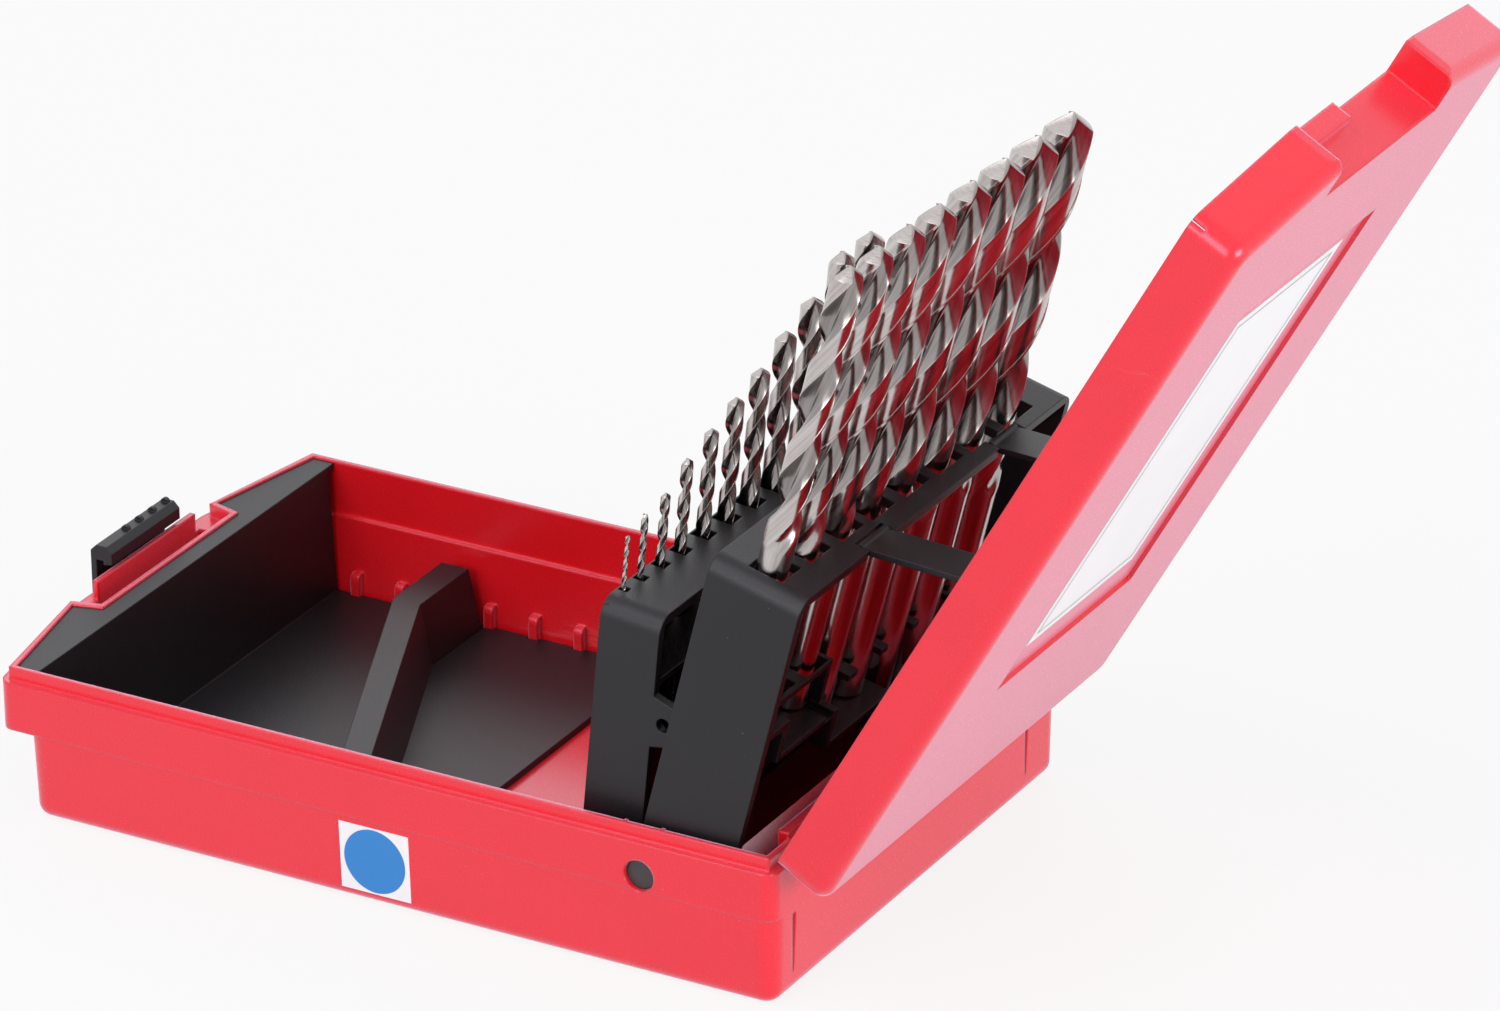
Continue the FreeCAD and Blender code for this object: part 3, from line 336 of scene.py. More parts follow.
def moulded_grain() -> bpy.types.NodeTree:
    """Build the eroded grain, flow marks and rounded edges of a moulding.

    Returns:
        A group that puts out a shading normal, a grain mask and a slow colour drift.
    """
    made = Effect(
        "moulded_grain",
        {"Grain Scale": 4200.0, "Grain Depth": 0.25, "Flow Scale": 38.0, "Edge Radius": 0.0004},
        {"Normal": "NodeSocketVector", "Grain": "NodeSocketFloat", "Drift": "NodeSocketFloat"},
    )
    place = made.add("ShaderNodeTexCoord")
    edge = made.add("ShaderNodeBevel", samples=6)
    made.join(made.source.outputs["Edge Radius"], edge.inputs["Radius"])
    grain = made.noise("Grain Scale", place.outputs["Object"], detail=3.0, rough=0.6)
    flow = made.noise("Flow Scale", place.outputs["Object"], detail=4.0, rough=0.5)
    flow.inputs["Distortion"].default_value = 0.6
    bump = made.add("ShaderNodeBump")
    bump.inputs["Distance"].default_value = GRAIN_RELIEF
    made.join(made.source.outputs["Grain Depth"], bump.inputs["Strength"])
    made.join(grain.outputs["Fac"], bump.inputs["Height"])
    made.join(edge.outputs["Normal"], bump.inputs["Normal"])
    made.put_out(Normal=bump.outputs["Normal"], Grain=grain.outputs["Fac"], Drift=flow.outputs["Fac"])
    return made.tree


def handling_marks() -> bpy.types.NodeTree:
    """Build sparse hair scratches and the specks of dust that lie on a used case.

    Returns:
        A group that puts out a mask of the scratches and one of the specks.
    """
    made = Effect(
        "handling_marks",
        {"Scratch Scale": 55.0, "Speck Scale": 260.0},
        {"Scratches": "NodeSocketFloat", "Specks": "NodeSocketFloat"},
    )
    place = made.add("ShaderNodeTexCoord")
    stretch = made.add("ShaderNodeMapping")
    stretch.inputs["Scale"].default_value = HAIR_STRETCH
    stretch.inputs["Rotation"].default_value = HAIR_TURN
    made.join(place.outputs["Object"], stretch.inputs["Vector"])
    hair = made.noise("Scratch Scale", stretch.outputs["Vector"], detail=9.0, rough=0.75)
    dust = made.add("ShaderNodeTexVoronoi", voronoi_dimensions="3D", feature="F1")
    made.join(place.outputs["Object"], dust.inputs["Vector"])
    made.join(made.source.outputs["Speck Scale"], dust.inputs["Scale"])
    pick = made.add("ShaderNodeSeparateColor")
    made.join(dust.outputs["Color"], pick.inputs["Color"])
    spot = made.window(dust.outputs["Distance"], *SPECK_WINDOW)
    few = made.window(pick.outputs["Red"], *SPECK_DRAW)
    scratches = made.window(hair.outputs["Fac"], *HAIR_WINDOW)
    made.put_out(Scratches=scratches, Specks=made.combine("MULTIPLY", spot, few))
    return made.tree


def ground_lines() -> bpy.types.NodeTree:
    """Build the soft streaks and fine lines that a grinding wheel leaves.

    Returns:
        A group that puts out a streak tone, a fine line height and a blotch mask.
    """
    made = Effect(
        "ground_lines",
        {"Streak Scale": 700.0, "Line Scale": 5200.0, "Blotch Scale": 190.0},
        {"Streaks": "NodeSocketFloat", "Lines": "NodeSocketFloat", "Blotches": "NodeSocketFloat"},
        places=("Place",),
    )
    place = made.add("ShaderNodeTexCoord")
    streak = made.noise("Streak Scale", made.source.outputs["Place"], detail=3.0, rough=0.55)
    lines = made.noise("Line Scale", made.source.outputs["Place"], detail=3.0, rough=0.6)
    blotch = made.noise("Blotch Scale", place.outputs["Object"], detail=3.0, rough=0.55)
    tone = made.window(streak.outputs["Fac"], *STREAK_WINDOW)
    made.put_out(Streaks=tone, Lines=lines.outputs["Fac"], Blotches=blotch.outputs["Fac"])
    return made.tree


@dataclass(frozen=True)
class MouldedFinish:
    """A moulded plastic with eroded grain, flow marks, hair scratches and dust.

    Attributes:
        name: Name of the material.
        deep: Darker tone of the plastic.
        light: Lighter tone of the plastic.
        worn: Tone of a scratch or a speck.
        smooth: Roughness where the surface is calm.
        rough: Roughness on grain peaks and scratches.
        grain: Strength of the grain.
        scale: Scale of the grain.
        level: Specular level of the skin.
        veil: Weight of the pale veil at grazing angles.
        tint: Colour of that veil.
        cast: Colour cast of the reflections.
        scratch: How far a scratch goes towards the worn tone.
        dust: How far a speck goes towards the worn tone.
        edge: Radius to which the shading rounds an edge, in millimetres.
        peaks: Weight of the grain in the roughness.
        veil_rough: Roughness of the veil.
    """

    name: str
    deep: Colour
    light: Colour
    worn: Colour
    smooth: float
    rough: float
    grain: float
    scale: float
    level: float = 0.5
    veil: float = 0.0
    tint: Colour = (1.0, 1.0, 1.0, 1.0)
    cast: Colour = (0.95, 0.93, 1.0, 1.0)
    scratch: float = 0.2
    dust: float = 0.8
    edge: float = 0.4
    peaks: float = 0.6
    veil_rough: float = 0.34

    def build(self, grain: bpy.types.NodeTree, marks: bpy.types.NodeTree) -> bpy.types.Material:
        """Build the material from the shared effects.

        Args:
            grain: The moulded grain group.
            marks: The handling marks group.

        Returns:
            The finished material.
        """
        shader = Shader(self.name)
        texture = shader.group(grain, Grain_Scale=self.scale, Grain_Depth=self.grain,
                               Edge_Radius=self.edge * MM)
        wear = shader.group(marks)
        plastic = shader.mix(texture.outputs["Drift"], self.deep, self.light)
        shown = shader.combine("MULTIPLY", wear.outputs["Scratches"], self.scratch)
        dusty = shader.combine("MULTIPLY", wear.outputs["Specks"], self.dust)
        skin = shader.mix(shader.combine("MAXIMUM", shown, dusty), plastic, self.worn)
        peaks = shader.combine("MULTIPLY", texture.outputs["Grain"], self.peaks)
        rough = shader.span(shader.combine("MAXIMUM", peaks, shown), self.smooth, self.rough)
        shader.join(skin, shader.surface.inputs["Base Color"])
        shader.join(rough, shader.surface.inputs["Roughness"])
        shader.join(texture.outputs["Normal"], shader.surface.inputs["Normal"])
        shader.set(IOR=1.5, Specular_IOR_Level=self.level, Specular_Tint=self.cast)
        shader.set(Sheen_Weight=self.veil, Sheen_Roughness=self.veil_rough, Sheen_Tint=self.tint)
        return shader.material


@dataclass(frozen=True)
class SteelFinish:
    """A bright steel with grinding streaks, slow tone changes and painted shade in the flutes.

    Attributes:
        name: Name of the material.
        dark: Darker tone of the metal.
        bright: Brighter tone of the metal.
        smooth: Lowest roughness.
        rough: Highest roughness.
        depth: Strength of the grinding lines.
        shade: How far a flute is painted darker than the land, as painted shade for its hollow.
        streak: Weight of the streaks in the tone.
        patch: Weight of the slow blotches in the tone.
        edge: Radius to which the shading rounds an edge, in millimetres.
        groove: Depth of the grinding lines in millimetres.
    """

    name: str
    dark: Colour
    bright: Colour
    smooth: float
    rough: float
    depth: float
    shade: float = 0.0
    streak: float = 0.75
    patch: float = 0.3
    edge: float = 0.12
    groove: float = 0.02

    def build(self, lines: bpy.types.NodeTree) -> bpy.types.Material:
        """Build the material from the shared grinding lines.

        Args:
            lines: The grinding lines group.

        Returns:
            The finished material.
        """
        shader = Shader(self.name)
        flow = shader.add("ShaderNodeAttribute", attribute_name="ground_flow")
        flute = shader.add("ShaderNodeAttribute", attribute_name="flute_shade_mask")
        texture = shader.group(lines)
        shader.join(flow.outputs["Vector"], texture.inputs["Place"])
        streaks = shader.combine("MULTIPLY", texture.outputs["Streaks"], self.streak)
        blotches = shader.combine("MULTIPLY", texture.outputs["Blotches"], self.patch)
        metal = shader.mix(shader.combine("ADD", streaks, blotches), self.dark, self.bright)
        # Painted shade: the flutes' base colour is mixed towards black, standing in for the shade in
        # their hollows.
        painted_flute_shade = shader.combine("MULTIPLY", flute.outputs["Fac"], self.shade)
        edge = shader.add("ShaderNodeBevel", samples=4)
        edge.inputs["Radius"].default_value = self.edge * MM
        bump = shader.add("ShaderNodeBump")
        bump.inputs["Strength"].default_value = self.depth
        bump.inputs["Distance"].default_value = self.groove * MM
        shader.join(texture.outputs["Lines"], bump.inputs["Height"])
        shader.join(edge.outputs["Normal"], bump.inputs["Normal"])
        rough = shader.span(texture.outputs["Streaks"], self.smooth, self.rough)
        shader.join(shader.mix(painted_flute_shade, metal, grey(0.0)), shader.surface.inputs["Base Color"])
        shader.join(rough, shader.surface.inputs["Roughness"])
        shader.join(bump.outputs["Normal"], shader.surface.inputs["Normal"])
        shader.set(Metallic=1.0)
        return shader.material


@dataclass
class Finishes:
    """All finishes of the case, built once and handed to the pieces.

    Attributes:
        faint: Brightness of the fainter tone of an ink, as a share of the full one.
        disc: Ink of the disc.
        rule: Ink of the border.
        film: The two tones of the films.
        grain: The moulded grain group.
        marks: The handling marks group.
        lines: The grinding lines group.
        made: The finished materials.
    """

    faint: float = 0.85
    disc: Colour = (0.020, 0.215, 0.60, 1.0)
    rule: Colour = (0.24, 0.25, 0.27, 1.0)
    film: tuple[Colour, Colour] = ((0.74, 0.74, 0.77, 1.0), (0.82, 0.82, 0.85, 1.0))
    grain: bpy.types.NodeTree = field(default_factory=moulded_grain)
    marks: bpy.types.NodeTree = field(default_factory=handling_marks)
    lines: bpy.types.NodeTree = field(default_factory=ground_lines)
    made: dict[Surface, bpy.types.Material] = field(default_factory=dict)

    def __post_init__(self) -> None:
        """Build every material of the case."""
        red = MouldedFinish(
            Surface.RED.value,
            deep=(0.69, 0.0025, 0.006, 1.0),
            light=(0.77, 0.004, 0.010, 1.0),
            worn=(0.80, 0.16, 0.18, 1.0),
            smooth=0.21,
            rough=0.38,
            grain=0.05,
            scale=3600.0,
            level=0.95,
            veil=0.9,
            tint=(1.0, 0.70, 1.0, 1.0),
            cast=(0.82, 0.76, 1.0, 1.0),
            scratch=0.4,
            dust=0.75,
            edge=0.9,
        )
        black = MouldedFinish(
            Surface.BLACK.value,
            deep=(0.0055, 0.0050, 0.0060, 1.0),
            light=(0.0095, 0.0088, 0.0105, 1.0),
            worn=(0.16, 0.16, 0.165, 1.0),
            smooth=0.36,
            rough=0.58,
            grain=0.6,
            scale=2300.0,
            level=0.42,
            scratch=0.05,
            dust=0.7,
        )
        stud = MouldedFinish(
            Surface.STUD.value,
            deep=(0.030, 0.026, 0.028, 1.0),
            light=(0.05, 0.045, 0.046, 1.0),
            worn=(0.22, 0.21, 0.21, 1.0),
            smooth=0.35,
            rough=0.55,
            grain=0.1,
            scale=2600.0,
        )
        for finish in (red, black, stud):
            self.made[Surface(finish.name)] = finish.build(self.grain, self.marks)
        ground = SteelFinish(
            Surface.GROUND.value,
            dark=(0.36, 0.325, 0.315, 1.0),
            bright=(0.70, 0.655, 0.64, 1.0),
            smooth=0.13,
            rough=0.27,
            depth=0.14,
            shade=0.45,
        )
        wire = SteelFinish(
            Surface.WIRE.value,
            dark=grey(0.50),
            bright=grey(0.62),
            smooth=0.2,
            rough=0.4,
            depth=0.15,
        )
        for finish in (ground, wire):
            self.made[Surface(finish.name)] = finish.build(self.lines)
        self.made[Surface.FILM] = self.label_film()
        self.made[Surface.DISC] = self.print_ink(Surface.DISC.value, self.disc)
        self.made[Surface.RULE] = self.print_ink(Surface.RULE.value, self.rule)

    def label_film(self) -> bpy.types.Material:
        """Build the pale printed film, with nothing printed on it."""
        return self.coated(Surface.FILM.value, "Drift", scale=1800.0, tones=self.film, rough=0.34)

    def print_ink(self, name: str, colour: Colour) -> bpy.types.Material:
        """Build a printed ink with a faint screen texture.

        Args:
            name: Name of the material.
            colour: Colour of the ink.

        Returns:
            The finished material.
        """
        faint = tuple(self.faint * part for part in colour[:3]) + (1.0,)
        return self.coated(name, "Grain", scale=5200.0, tones=(faint, colour), rough=0.3)

    def coated(self, name: str, driver: str, scale: float, tones: tuple[Colour, Colour],
               rough: float) -> bpy.types.Material:
        """Build a thin coating whose tone follows the shared grain.

        Args:
            name: Name of the material.
            driver: Output of the grain group that mixes the tones.
            scale: Scale of the grain.
            tones: The two tones.
            rough: Roughness of the coating.

        Returns:
            The finished material.
        """
        shader = Shader(name)
        texture = shader.group(self.grain, Grain_Scale=scale, Grain_Depth=0.05, Edge_Radius=0.05 * MM)
        shader.join(shader.mix(texture.outputs[driver], *tones), shader.surface.inputs["Base Color"])
        shader.join(texture.outputs["Normal"], shader.surface.inputs["Normal"])
        shader.set(Roughness=rough)
        return shader.material


def new_piece(name: str, mesh: bpy.types.Mesh, material: bpy.types.Material) -> bpy.types.Object:
    """Put a mesh into the scene with one material.

    Args:
        name: Name of the piece.
        mesh: Its mesh, in metres.
        material: Its finish.

    Returns:
        The new object.
    """
    mesh.materials.append(material)
    piece = bpy.data.objects.new(name, mesh)
    bpy.context.scene.collection.objects.link(piece)
    return piece


@dataclass(frozen=True)
class RackPlace:
    """Where one row's rack stands, in millimetres and degrees.

    Attributes:
        lean: Lean of the rack towards the hinge.
        top: Height of the bar's top above the pivot, along the rack.
        face: Distance of the drills' front edge behind the pivot, square to the rack.
        pivot_y: Place of the pivot along Y.
        pivot_z: Height of the pivot.
    """

    lean: float
    top: float
    face: float
    pivot_y: float = 57.9
    pivot_z: float = 21.8

    def point(self, across: float, deep: float, high: float) -> Vector:
        """Return a point of the leaning rack in the frame.

        Args:
            across: Place along X, in millimetres.
            deep: Distance behind the pivot, square to the rack, in millimetres.
            high: Height above the pivot along the rack, in millimetres.

        Returns:
            The point in metres.
        """
        angle = math.radians(self.lean)
        along = self.pivot_y + deep * math.cos(angle) + high * math.sin(angle)
        up = self.pivot_z - deep * math.sin(angle) + high * math.cos(angle)
        return Vector((across, along, up)) * MM


RACKS = {
    Row.REAR: RackPlace(lean=14.9, top=70.65, face=3.2),
    Row.FRONT: RackPlace(lean=6.3, top=52.1, face=-15.8),
}


@dataclass(frozen=True)
class SectionPoint:
    """One point of a fluted cross section.

    Attributes:
        angle: Angle about the axis in degrees.
        reach: Distance from the axis, as a share of the radius.
        behind: Angle behind the nearest cutting lip in degrees.
        flute: 1 in a flute and 0 on the land.
    """

    angle: float
    reach: float
    behind: float
    flute: float


@dataclass(frozen=True)
class FluteShape:
    """Proportions of a twist drill's cross section.

    Attributes:
        land: Angle of the land in degrees, from its heel to its cutting edge.
        margin: Angle of the raised margin behind the cutting edge.
        body: Radius share of the land behind the margin.
        web: Half thickness of the web, as a share of the radius.
        core: Smallest radius share in the flute.
        heel_from: Angle at which the flute starts to rise to the heel.
        heel_power: How late the flute rises to the heel.
        rake_end: Angle at which the rake face ends.
        land_steps: Number of steps along the land behind the margin.
        margin_step: Angle over which the margin rises.
        shares: Places of the points along the flute.
    """

    land: float = 72.0
    margin: float = 8.0
    body: float = 0.965
    web: float = 0.16
    core: float = 0.21
    heel_from: float = 48.0
    heel_power: float = 2.1
    rake_end: float = 46.0
    land_steps: int = 7
    margin_step: float = 0.6
    shares: tuple[float, ...] = (0.015, 0.04, 0.075, 0.12, 0.18, 0.26, 0.35, 0.45, 0.55, 0.65, 0.75,
                                 0.84, 0.92, 0.97)

    def flute_reach(self, angle: float, last: float) -> float:
        """Return the flute's radius share at an angle from the rake face."""
        rake = self.web / math.sin(math.radians(min(angle, RIGHT_ANGLE)))
        climb = max(0.0, (angle - self.heel_from) / (last - self.heel_from))
        heel = self.core + (self.body - self.core) * climb ** self.heel_power
        return max(rake, heel) if angle < RIGHT_ANGLE else heel

    def points(self) -> list[SectionPoint]:
        """Return the whole cross section, counted against the clock from a heel."""
        made: list[SectionPoint] = []
        first = math.degrees(math.asin(self.web))
        last = first + HALF_TURN - self.land
        step = (self.land - self.margin) / self.land_steps
        for half in (0.0, HALF_TURN):
            for index in range(self.land_steps + 1):
                angle = step * index
                made.append(SectionPoint(half + angle, self.body, self.land - angle, 0.0))
            edge = half + self.land - self.margin + self.margin_step
            made.append(SectionPoint(edge, 1.0, self.margin, 0.0))
            made.append(SectionPoint(half + self.land, 1.0, 0.0, 0.0))
            for share in self.shares:
                angle = first + (last - first) * share
                place = self.land + angle - first
                behind = 0.0 if angle < self.rake_end else HALF_TURN + self.land - place
                made.append(SectionPoint(half + place, self.flute_reach(angle, last), behind, 1.0))
        return made


@dataclass
class TwistDrill:
    """One ground twist drill, standing on its seat in a rack.

    Attributes:
        diameter: Cutting diameter in millimetres.
        whole: Whole length in millimetres.
        flute: Length of the flutes in millimetres.
        across: Place along X in millimetres.
        show: Length above the rack's bar in millimetres.
        row: The rack that holds it.
        lip: Direction of a cutting lip's corner, in degrees from +X.
        pitch_share: Length of one turn of the flutes, in diameters.
        run_out_share: Length over which the wheel leaves the flute, in diameters.
        run_out_lift: How far the wheel lifts, in radii.
        run_out_power: How late it lifts.
        point_slope: Rise of the point from its rim, per radius.
        relief: Fall of the point behind a lip, per radius and radian.
        steps_per_turn: Cross sections in one turn.
        point_steps: Cross sections in the point.
        stretch: Length share at which the grinding lines are read.
        apart: Distance between two drills' grinding lines, in diameters.
        clearance: Room between the drill and its rack, in millimetres.
        chamfer: Chamfer of the shank's end, in diameters.
        chamfer_high: Height of that chamfer, in diameters.
        weld: Distance at which points are joined, in diameters.
        crease: Angle of a sharp edge, in degrees.
        shape: Proportions of the cross section.
    """

    diameter: float
    whole: float
    flute: float
    across: float
    show: float
    row: Row
    lip: float
    pitch_share: float = 5.55
    run_out_share: float = 1.7
    run_out_lift: float = 0.85
    run_out_power: float = 1.5
    point_slope: float = 0.6
    relief: float = 0.17
    steps_per_turn: int = 52
    point_steps: int = 14
    stretch: float = 0.03
    apart: float = 17.0
    clearance: float = 0.02
    chamfer: float = 0.05
    chamfer_high: float = 0.06
    weld: float = 0.0005
    crease: float = 34.0
    shape: FluteShape = field(default_factory=FluteShape)

    @property
    def word(self) -> str:
        """Return the drill's size as it stands in its node's name."""
        return f"{int(self.diameter)}_{int(round(self.diameter * 10)) % 10}"

    def rise(self, level: float) -> float:
        """Return how far the grinding wheel has lifted out of the flute at a level."""
        start = self.whole - self.flute
        left = 1.0 - (level - start) / (self.diameter * self.run_out_share)
        return self.run_out_lift * max(0.0, min(1.0, left)) ** self.run_out_power

    def levels(self) -> list[float]:
        """Return the heights of the cross sections along the drill."""
        start = self.whole - self.flute
        point = self.diameter * 0.5
        step = self.diameter * self.pitch_share / self.steps_per_turn
        count = int((self.flute - point) / step)
        fluted = [start + (self.flute - point) * index / count for index in range(count)]
        steps = self.point_steps
        tip = [self.whole - point * (1.0 - index / steps) for index in range(steps + 1)]
        return [self.clearance, self.diameter * self.chamfer_high, start * 0.5] + fluted + tip

    def vertex(self, point: SectionPoint, level: float, shrink: float) -> tuple[Vector, Vector]:
        """Return a place on the drill and the same place with the twist taken out.

        Args:
            point: Point of the cross section.
            level: Height above the shank's end.
            shrink: Chamfer at that level.

        Returns:
            The twisted place and the straight one.
        """
        radius = self.diameter / 2.0 - self.clearance
        reach = radius * min(1.0, point.reach + self.rise(level)) - shrink
        cap = self.whole - reach * (self.point_slope + self.relief * math.radians(point.behind))
        height = min(level, cap)
        turned = max(height, self.whole - self.flute) - self.whole
        straight = math.radians(point.angle)
        spin = straight + math.radians(self.lip - self.shape.land)
        spin += math.tau * turned / (self.diameter * self.pitch_share)
        twisted = Vector((reach * math.cos(spin), reach * math.sin(spin), height))
        flow = Vector((reach * math.cos(straight), reach * math.sin(straight), height * self.stretch))
        return twisted, flow + Vector((self.diameter * self.apart, 0.0, 0.0))

    def place(self) -> Matrix:
        """Return the drill's place on its seat in the leaning rack."""
        rack = RACKS[self.row]
        seat = rack.top - (self.whole - self.show)
        foot = rack.point(self.across, rack.face + self.diameter / 2.0, seat)
        lean = Matrix.Rotation(math.radians(-rack.lean), 4, "X")
        return Matrix.Translation(foot) @ lean @ Matrix.Scale(MM, 4)

    def build(self, material: bpy.types.Material) -> bpy.types.Object:
        """Build the drill and seat it in its rack.

        Args:
            material: The ground steel finish.

        Returns:
            The drill's object.
        """
        section = self.shape.points()
        around = len(section)
        mesh = bmesh.new()
        flow = mesh.verts.layers.float_vector.new("ground_flow")
        mask = mesh.verts.layers.float.new("flute_shade_mask")
        rings: list[list[bmesh.types.BMVert]] = []
        for order, level in enumerate(self.levels()):
            ring = []
            shrink = self.diameter * self.chamfer if order == 0 else 0.0
            for point in section:
                twisted, straight = self.vertex(point, level, shrink)
                vertex = mesh.verts.new(twisted)
                vertex[flow] = straight * MM
                # Painted shade: this mask darkens the flutes' colour, and it fades out where the wheel
                # runs out of the flute.
                vertex[mask] = point.flute * (1.0 - min(1.0, self.rise(level)))
                ring.append(vertex)
            rings.append(ring)
        for lower, upper in zip(rings, rings[1:]):
            for index in range(around):
                after = (index + 1) % around
                mesh.faces.new((lower[index], lower[after], upper[after], upper[index]))
        mesh.faces.new(rings[0][::-1])
        tip = mesh.verts.new((0.0, 0.0, self.whole))
        for index in range(around):
            mesh.faces.new((rings[-1][index], rings[-1][(index + 1) % around], tip))
        bmesh.ops.remove_doubles(mesh, verts=mesh.verts, dist=self.diameter * self.weld)
        bmesh.ops.transform(mesh, matrix=self.place(), verts=mesh.verts)
        data = bpy.data.meshes.new(f"bit_{self.word}")
        mesh.to_mesh(data)
        mesh.free()
        data.shade_smooth()
        data.set_sharp_from_angle(angle=math.radians(self.crease))
        piece = new_piece(f"bit_{self.word}", data, material)
        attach(piece, f"bit_{self.word}")
        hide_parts(f"drill_{self.word}")
        return piece


@dataclass
class DrillSet:
    """The nineteen drills of the case in their two rows.

    Attributes:
        rear_show: Length that the rear drills show above their bar, in millimetres.
        view: Direction of the photograph's camera, in degrees from +X.
        rear: Diameter, whole length, flute length, place along X, and a lip's angle from the view.
        front: The same for the front row, with the length above the bar before the lip's angle.
        jitter: Largest chance turn of a drill, in degrees.
    """

    rear_show: float = 67.5
    view: float = 30.0
    rear: tuple[tuple[float, ...], ...] = (
        (6.5, 101.0, 63.0, 46.8, 30.0),
        (7.0, 109.0, 69.0, 36.3, 28.0),
        (7.5, 109.0, 69.0, 24.8, 26.0),
        (8.0, 117.0, 75.0, 13.7, 21.0),
        (8.5, 117.0, 75.0, 1.1, 17.0),
        (9.0, 125.0, 81.0, -11.2, 13.0),
        (9.5, 125.0, 81.0, -23.8, 12.0),
        (10.0, 133.0, 87.0, -37.1, 14.0),
    )
    front: tuple[tuple[float, ...], ...] = (
        (1.0, 34.0, 12.0, 45.2, 11.5, 5.0),
        (1.5, 40.0, 18.0, 39.4, 13.9, 60.0),
        (2.0, 49.0, 24.0, 32.3, 15.4, 20.0),
        (2.5, 57.0, 30.0, 25.1, 19.9, 35.0),
        (3.0, 61.0, 33.0, 16.8, 22.9, 10.0),
        (3.5, 70.0, 39.0, 8.4, 26.2, 15.0),
        (4.0, 75.0, 43.0, -0.2, 29.1, 12.0),
        (4.5, 80.0, 47.0, -8.9, 33.6, 20.0),
        (5.0, 86.0, 52.0, -18.4, 37.2, 2.0),
        (5.5, 93.0, 57.0, -28.6, 43.2, 28.0),
        (6.0, 93.0, 57.0, -39.4, 43.2, 8.0),
    )
    jitter: float = 1.5

    def build(self, material: bpy.types.Material) -> None:
        """Build every drill of both rows."""
        chance = random.Random(SEED)
        rows = [(Row.REAR, size[:4] + (self.rear_show, size[4])) for size in self.rear]
        rows += [(Row.FRONT, size) for size in self.front]
        for row, (diameter, whole, flute, across, show, lip) in rows:
            turn = self.view + lip + chance.uniform(-self.jitter, self.jitter)
            drill = TwistDrill(diameter, whole, flute, across, show, row, turn)
            LOG.info("drill %s", drill.build(material).name)


@dataclass
class LabelFilms:
    """Plain print on the two films: a disc on the near wall and a thin border on the lid.

    Attributes:
        side_front: Front edge of the near film along Y, in millimetres, as all lengths here.
        side_back: Its back edge.
        side_low: Its lower edge.
        side_high: Its upper edge.
        film_thick: Thickness of a film.
        disc_share: Radius of the disc, as a share of the film's width.
        disc_sides: Number of points round the disc.
        proud: How far print stands proud of its film.
        lid_slope: Slope of the open lid's outer face, in degrees.
        border_inset: Distance of the border from the film's edge.
        border_width: Width of the border.
        touch: How near a point lies to the film's face to belong to it.
    """

    side_front: float = -9.8
    side_back: float = 6.0
    side_low: float = 2.6
    side_high: float = 17.2
    film_thick: float = 0.12
    disc_share: float = 0.44
    disc_sides: int = 96
    proud: float = 0.03
    lid_slope: float = 60.0
    border_inset: float = 2.2
    border_width: float = 0.5
    touch: float = 0.01

    def disc(self, material: bpy.types.Material) -> None:
        """Print the plain disc on the side film."""
        low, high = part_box("side_label")
        middle_y = (self.side_front + self.side_back) / 2.0 * MM
        middle_z = (self.side_low + self.side_high) / 2.0 * MM
        radius = (self.side_back - self.side_front) * self.disc_share * MM
        slope = (high[0] - low[0] - self.film_thick * MM) / (high[2] - low[2])
        mesh = bmesh.new()
        bmesh.ops.create_circle(mesh, cap_ends=True, segments=self.disc_sides, radius=radius)
        for vertex in mesh.verts:
            along = middle_y + vertex.co.x
            up = middle_z + vertex.co.y
            out = high[0] - (high[2] - up) * slope + self.proud * MM
            vertex.co = Vector((out, along, up))
        data = bpy.data.meshes.new("side_label_disc")
        mesh.normal_update()
        mesh.to_mesh(data)
        mesh.free()
        piece = new_piece("side_label_disc", data, material)
        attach(piece, "case_base")

    def border(self, film: bpy.types.Object, material: bpy.types.Material) -> None:
        """Print a thin plain border on the lid's film.

        Args:
            film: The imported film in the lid's field.
            material: The ink of the border.
        """
        outer = [vertex.co.copy() for vertex in film.data.vertices]
        slope = math.radians(self.lid_slope)
        out = Vector((0.0, math.sin(slope), -math.cos(slope)))
        face = max(point.dot(out) for point in outer)
        corners = [point for point in outer if face - point.dot(out) < self.touch * MM]
        across = Vector((1.0, 0.0, 0.0))
        along = out.cross(across)
        left = min(point.dot(across) for point in corners)
        right = max(point.dot(across) for point in corners)
        low = min(point.dot(along) for point in corners)
        high = max(point.dot(along) for point in corners)
        mesh = bmesh.new()
        loops = []
        for inset in (self.border_inset * MM, (self.border_inset + self.border_width) * MM):
            spots = ((left + inset, low + inset), (right - inset, low + inset),
                     (right - inset, high - inset), (left + inset, high - inset))
            lifted = out * (face + self.proud * MM)
            loops.append([mesh.verts.new(across * wide + along * long + lifted) for wide, long in spots])
        for index in range(4):
            after = (index + 1) % 4
            mesh.faces.new((loops[0][index], loops[0][after], loops[1][after], loops[1][index]))
        mesh.normal_update()
        data = bpy.data.meshes.new("lid_label_border")
        mesh.to_mesh(data)
        mesh.free()
        piece = new_piece("lid_label_border", data, material)
        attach(piece, "lid")


@dataclass(frozen=True)
class SoftLamp:
    """One soft area lamp.

    Attributes:
        name: Name of the lamp.
        place: Where it hangs, in metres.
        size: Its longer edge in metres.
        power: Power in watts.
        shape: Shorter edge as a share of the longer one.
    """

    name: str
    place: tuple[float, float, float]
    size: float
    power: float
    shape: float = 0.7

    def hang(self, aim: Vector) -> None:
        """Hang the lamp and turn it to a point."""
        data = bpy.data.lights.new(self.name, "AREA")
        data.shape = "RECTANGLE"
        data.size = self.size
        data.size_y = self.size * self.shape
        data.energy = self.power
        lamp = bpy.data.objects.new(self.name, data)
        lamp.location = self.place
        lamp.rotation_euler = (Vector(self.place) - aim).to_track_quat("Z", "Y").to_euler()
        bpy.context.scene.collection.objects.link(lamp)


